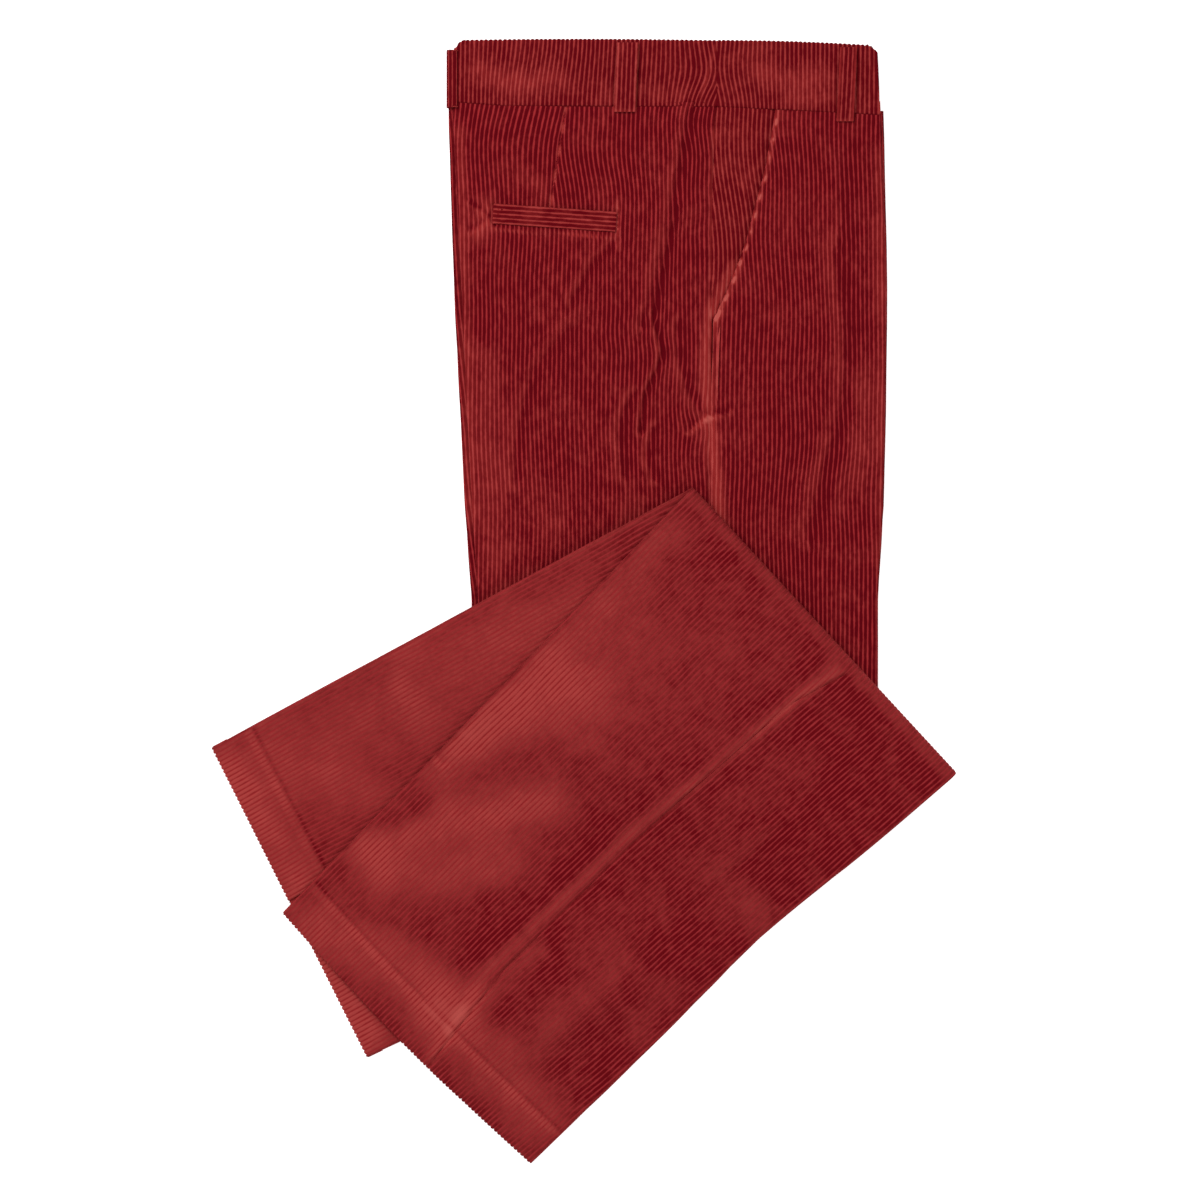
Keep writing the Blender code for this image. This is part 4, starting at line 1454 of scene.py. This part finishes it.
@dataclass
class Waistband:
    """Four lengths of waistband, two on each half, each from a cloth edge to the side seam."""

    finishes: Finishes
    # End of the half, its head and tail lines, corner on the right or not, cut, lean
    lengths: tuple = (
        ("back", ((-95.0, 414.6), (98.3, 414.4)), ((-98.6, 371.7), (97.5, 368.8)),
         False, (215.0, 68.0), Lean(92.0, 378.0, 24.0, 24.0)),
        ("front", ((99.6, 414.6), (216.0, 410.6)), ((98.5, 368.8), (218.0, 363.0)),
         True, (140.0, 68.0), Lean(106.0, 380.0, 26.0, -13.0)))

    def build(self) -> None:
        """Make the four lengths, each folded over along its top edge."""
        for side, face, up in (("right", 8.1, True), ("left", 1.8, False)):
            for end, head, tail, corner_right, cut, lean in self.lengths:
                strip = Strip(head, tail, flat_at(face), up, thick=BAND, reach=9.0, ribs=0.6,
                              corner=7.0, corner_right=corner_right, bow=1.0, follow=True,
                              wale=lambda x, y: x + wander(x, y * 0.6) * 0.8,
                              relief=lambda x, y: 0.5 * swell(x * 1.6, y * 2.0),
                              leans=(lean,) + BAND_LEANS, sheen_patches=BAND_SHEEN,
                              row_mm=2.0 if up else 4.0, column_mm=0.62 if up else 1.1)
                add_piece(f"{side}_{end}_band", [strip.build().ribbed(BAND_PILE)],
                          self.finishes.trim, [f"waistband_{side}_{end}"])


@dataclass
class Loops:
    """Five belt loops: two on each half and one over the centre back."""

    finishes: Finishes

    def build(self) -> None:
        """Make the loops."""
        # Which loop, middle of its head and tail, width
        for name, top, end, width in (("back", (31.9, 414.0), (29.9, 363.4), 14.6),
                                      ("front", (195.6, 410.6), (193.0, 356.4), 11.6)):
            head, tail = (((x - width / 2, y), (x + width / 2, y)) for x, y in (top, end))
            length = top[1] - end[1]
            # Painted highlight along both sides of the loop and across its lower end
            edges = (BrushedSheen((head[0], tail[0]), 1.2, 0.6), BrushedSheen((head[1], tail[1]), 1.2, 0.6),
                     BrushedSheen(tail, 1.4, 0.5))

            def arch(x: Array, y: Array) -> Array:
                """Height of a loop that stands clear of the band between its ends."""
                return 9.9 + 1.3 * np.sin(math.pi * np.clip((y - end[1]) / length, 0.0, 1.0))

            upper = Strip(head, tail, arch, True, thick=LOOP, reach=3.0, sheen_patches=edges)
            lower = Strip(head, tail, flat_at(0.1), False, thick=LOOP, reach=3.0, column_mm=1.1)
            for side, strip in (("right", upper), ("left", lower)):
                add_piece(f"{side}_{name}_loop", [strip.build().ribbed(LOOP_PILE)],
                          self.finishes.trim, [f"belt_loop_{side}_{name}"])
        self.centre_back()

    def centre_back(self) -> None:
        """The loop folded over the left edge."""
        arc = np.linspace(0.0, math.pi, 26)
        flat = np.linspace(-94.6, -97.0, 5)
        x = np.concatenate([flat, -97.4 - 4.95 * np.sin(arc)[1:-1], flat[::-1]])
        z = np.concatenate([np.full(5, 9.9), 4.95 + 4.95 * np.cos(arc)[1:-1], np.zeros(5)])
        run = np.concatenate([[0.0], np.cumsum(np.hypot(np.diff(x), np.diff(z)))])
        y = np.linspace(409.0, 366.4, 22)[:, None]
        points = np.stack([x[None] + 0.0 * y, y + 0.0 * x[None], z[None] + 0.0 * y], axis=-1)
        wale = run[None] + 0.0 * y
        made = Surface(points, wale, -y + 0.0 * wale, 0.0 * wale - 0.2)
        made = faced(made, True, 2)
        for along_rows in (True, False):
            for at_end in (False, True):
                made = turned(made, at_end, along_rows, LOOP, 3.0)
        add_piece("centre_back_loop", [made.ribbed(LOOP_PILE)], self.finishes.trim,
                  ["belt_loop_centre_back"])


@dataclass
class Welts:
    """The welted back pocket of each half."""

    finishes: Finishes

    def build(self) -> None:
        """Make both welts, their wales lengthwise."""
        head = (welt_corner(-0.5, 0.5), welt_corner(-0.5, -0.5))
        tail = (welt_corner(0.5, 0.5), welt_corner(0.5, -0.5))
        lit = (welt_corner(-0.35, 0.1), welt_corner(0.4, 0.1))
        for side, face, up in (("right", 7.35, True), ("left", 0.0, False)):
            strip = Strip(head, tail, flat_at(face), up, thick=WELT, reach=1.5, column_mm=0.5,
                          row_mm=2.0, sheen_patches=(BrushedSheen(lit, 5.0, 0.12),))
            add_piece(f"{side}_welt", [strip.build().ribbed(WELT_PILE)], self.finishes.trim,
                      [f"{side}_back_welt"])


LEG_CREASES = creases(
    (0.8, 3.0, 0.4, 0.2, 0.2, (-121.0, -102.0), (-104.0, -118.0)),
    (0.5, 6.0, 0.3, 0.0, 0.1, (150.0, -170.0), (90.0, -215.0)),
)
MIDDLE_LEFT, MIDDLE_RIGHT = (-69.9, -27.1), ((226.9, -162.0), (222.0, -164.0))


@dataclass
class Legs:
    """Both legs, folded up over the seat and then down across it."""

    finishes: Finishes

    def build(self) -> None:
        """Make the two halves of each leg."""
        right = dict(stations=RIGHT_LEG, fold=FOLD2, middle_end=(MIDDLE_LEFT, MIDDLE_RIGHT[0]),
                     seam=SIDE_SHARE, floor=right_leg_floor, sheen_patches=LEG_SHEEN_AND_SHADE, relief=LEG_CREASES)
        left = dict(stations=LEFT_LEG, fold=FOLD2_LEFT, middle_end=(MIDDLE_LEFT, MIDDLE_RIGHT[1]),
                    seam=INSEAM_SHARE, floor=left_leg_floor, sheen_patches=LEFT_LEG_SHEEN, bow=0.0,
                    radius=FOLD_INNER[1], row_mm=3.0, turned_sheen=0.14, grain=(-0.87, -0.49))
        # Which half, its cloth, the nodes that it replaces, its cut, what it lies on
        halves = (
            ("right_back", LegHalf(edge=Edge.LEFT, turned_sheen=0.05, **right),
             ["right_back_leg", "right_leg_inner_half"], (290.0, 690.0),
             ["left_back_leg_cloth", "right_back_cloth"]),
            ("right_front", LegHalf(edge=Edge.RIGHT, grain=(-0.75, -0.66), inward=3.2,
                                    wale_start=1.2, **right),
             ["right_front_leg"], (235.0, 560.0), ["left_front_leg_cloth", "right_front_cloth"]),
            ("left_back", LegHalf(edge=Edge.LEFT, **left),
             ["left_back_leg", "left_leg_outer_half"], (262.0, 640.0), ["right_back_cloth"]),
            ("left_front", LegHalf(edge=Edge.RIGHT, wale_start=1.4, **left),
             ["left_front_leg"], (262.0, 520.0), ["right_front_cloth"]))
        for name, half, nodes, cut, rests_on in halves:
            add_piece(f"{name}_leg_cloth", [half.build().ribbed()], self.finishes.upturned_sheen, nodes)


@dataclass(frozen=True)
class Studio:
    """A camera straight above through a long lens, even soft light, and a white floor."""

    centre: Point = (11.5, 1.5)     # what the camera stands over, in millimetres
    lens: float = 150.0
    height: float = 3.712
    ambient: float = 0.68
    floor_reach: float = 14.0
    floor_drop: float = 0.5 * MM    # keeps the floor clear of the ribs that lie on it
    floor_glow: float = 0.6

    def build(self) -> None:
        """Set the camera, lights, floor and world."""
        scene = bpy.context.scene
        scene.view_settings.view_transform = "Standard"
        camera = bpy.data.cameras.new("camera")
        camera.lens = self.lens
        camera.sensor_width = 36.0
        camera.clip_end = 50.0
        seat = bpy.data.objects.new("camera", camera)
        seat.location = (self.centre[0] * MM, self.centre[1] * MM, self.height)
        scene.collection.objects.link(seat)
        scene.camera = seat
        self.lamp("overhead", (-1.3, 1.5, 2.0), 1.2, 42.0)
        self.lamp("fill", (1.6, -1.2, 2.4), 2.0, 10.0)
        world = bpy.data.worlds.new("studio")
        world.use_nodes = True
        ambient = world.node_tree.nodes["Background"]
        ambient.inputs["Color"].default_value = linear("#FFFFFF")
        ambient.inputs["Strength"].default_value = self.ambient
        scene.world = world
        self.floor()

    def lamp(self, name: str, spot: tuple[float, float, float], size: float, power: float) -> None:
        """Add a square soft light that looks at the trousers.

        Args:
            name: the light's name.
            spot: where it stands, in metres.
            size: its side, in metres.
            power: its power, in watts.
        """
        light = bpy.data.lights.new(name, "AREA")
        light.size = size
        light.energy = power
        lamp = bpy.data.objects.new(name, light)
        lamp.location = spot
        aim = np.array(spot)
        lamp.rotation_euler = (math.atan2(math.hypot(aim[0], aim[1]), aim[2]), 0.0,
                               math.atan2(aim[0], -aim[1]))
        bpy.context.scene.collection.objects.link(lamp)
        lamp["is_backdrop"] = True

    def floor(self) -> None:
        """Add the white floor beneath."""
        paper = bpy.data.materials.new("white seamless paper")
        paper.use_nodes = True
        shader = paper.node_tree.nodes["Principled BSDF"]
        shader.inputs["Base Color"].default_value = linear("#FAFAFA")
        shader.inputs["Roughness"].default_value = 0.9
        shader.inputs["Emission Color"].default_value = linear("#FFFFFF")
        shader.inputs["Emission Strength"].default_value = self.floor_glow
        mesh = bpy.data.meshes.new("floor")
        reach = self.floor_reach
        mesh.from_pydata([(-reach, -reach, 0.0), (reach, -reach, 0.0), (reach, reach, 0.0),
                          (-reach, reach, 0.0)], [], [(0, 1, 2, 3)])
        mesh.materials.append(paper)
        floor = bpy.data.objects.new("floor", mesh)
        floor.location = (0.0, 0.0, -self.floor_drop)
        bpy.context.scene.collection.objects.link(floor)
        floor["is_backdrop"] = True


def write_size(stage_name: str, sizes: dict) -> None:
    """Keep the shown object's bounds at a moment of the build.

    Args:
        stage_name: which moment.
        sizes: what has been kept so far, added to here.
    """
    low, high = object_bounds()
    sizes[stage_name] = [list(low), list(high)]


def main() -> None:
    """Build the cloth piece by piece, then the studio."""
    logging.basicConfig(level=logging.INFO, format="%(message)s")
    sizes: dict = {}
    write_size("frame", sizes)
    finishes = Finishes()
    for part in (Seat, Waistband, Loops, Welts, Legs):
        part(finishes).build()
    Studio().build()
    write_size("visual", sizes)


if __name__ == "__main__":
    main()
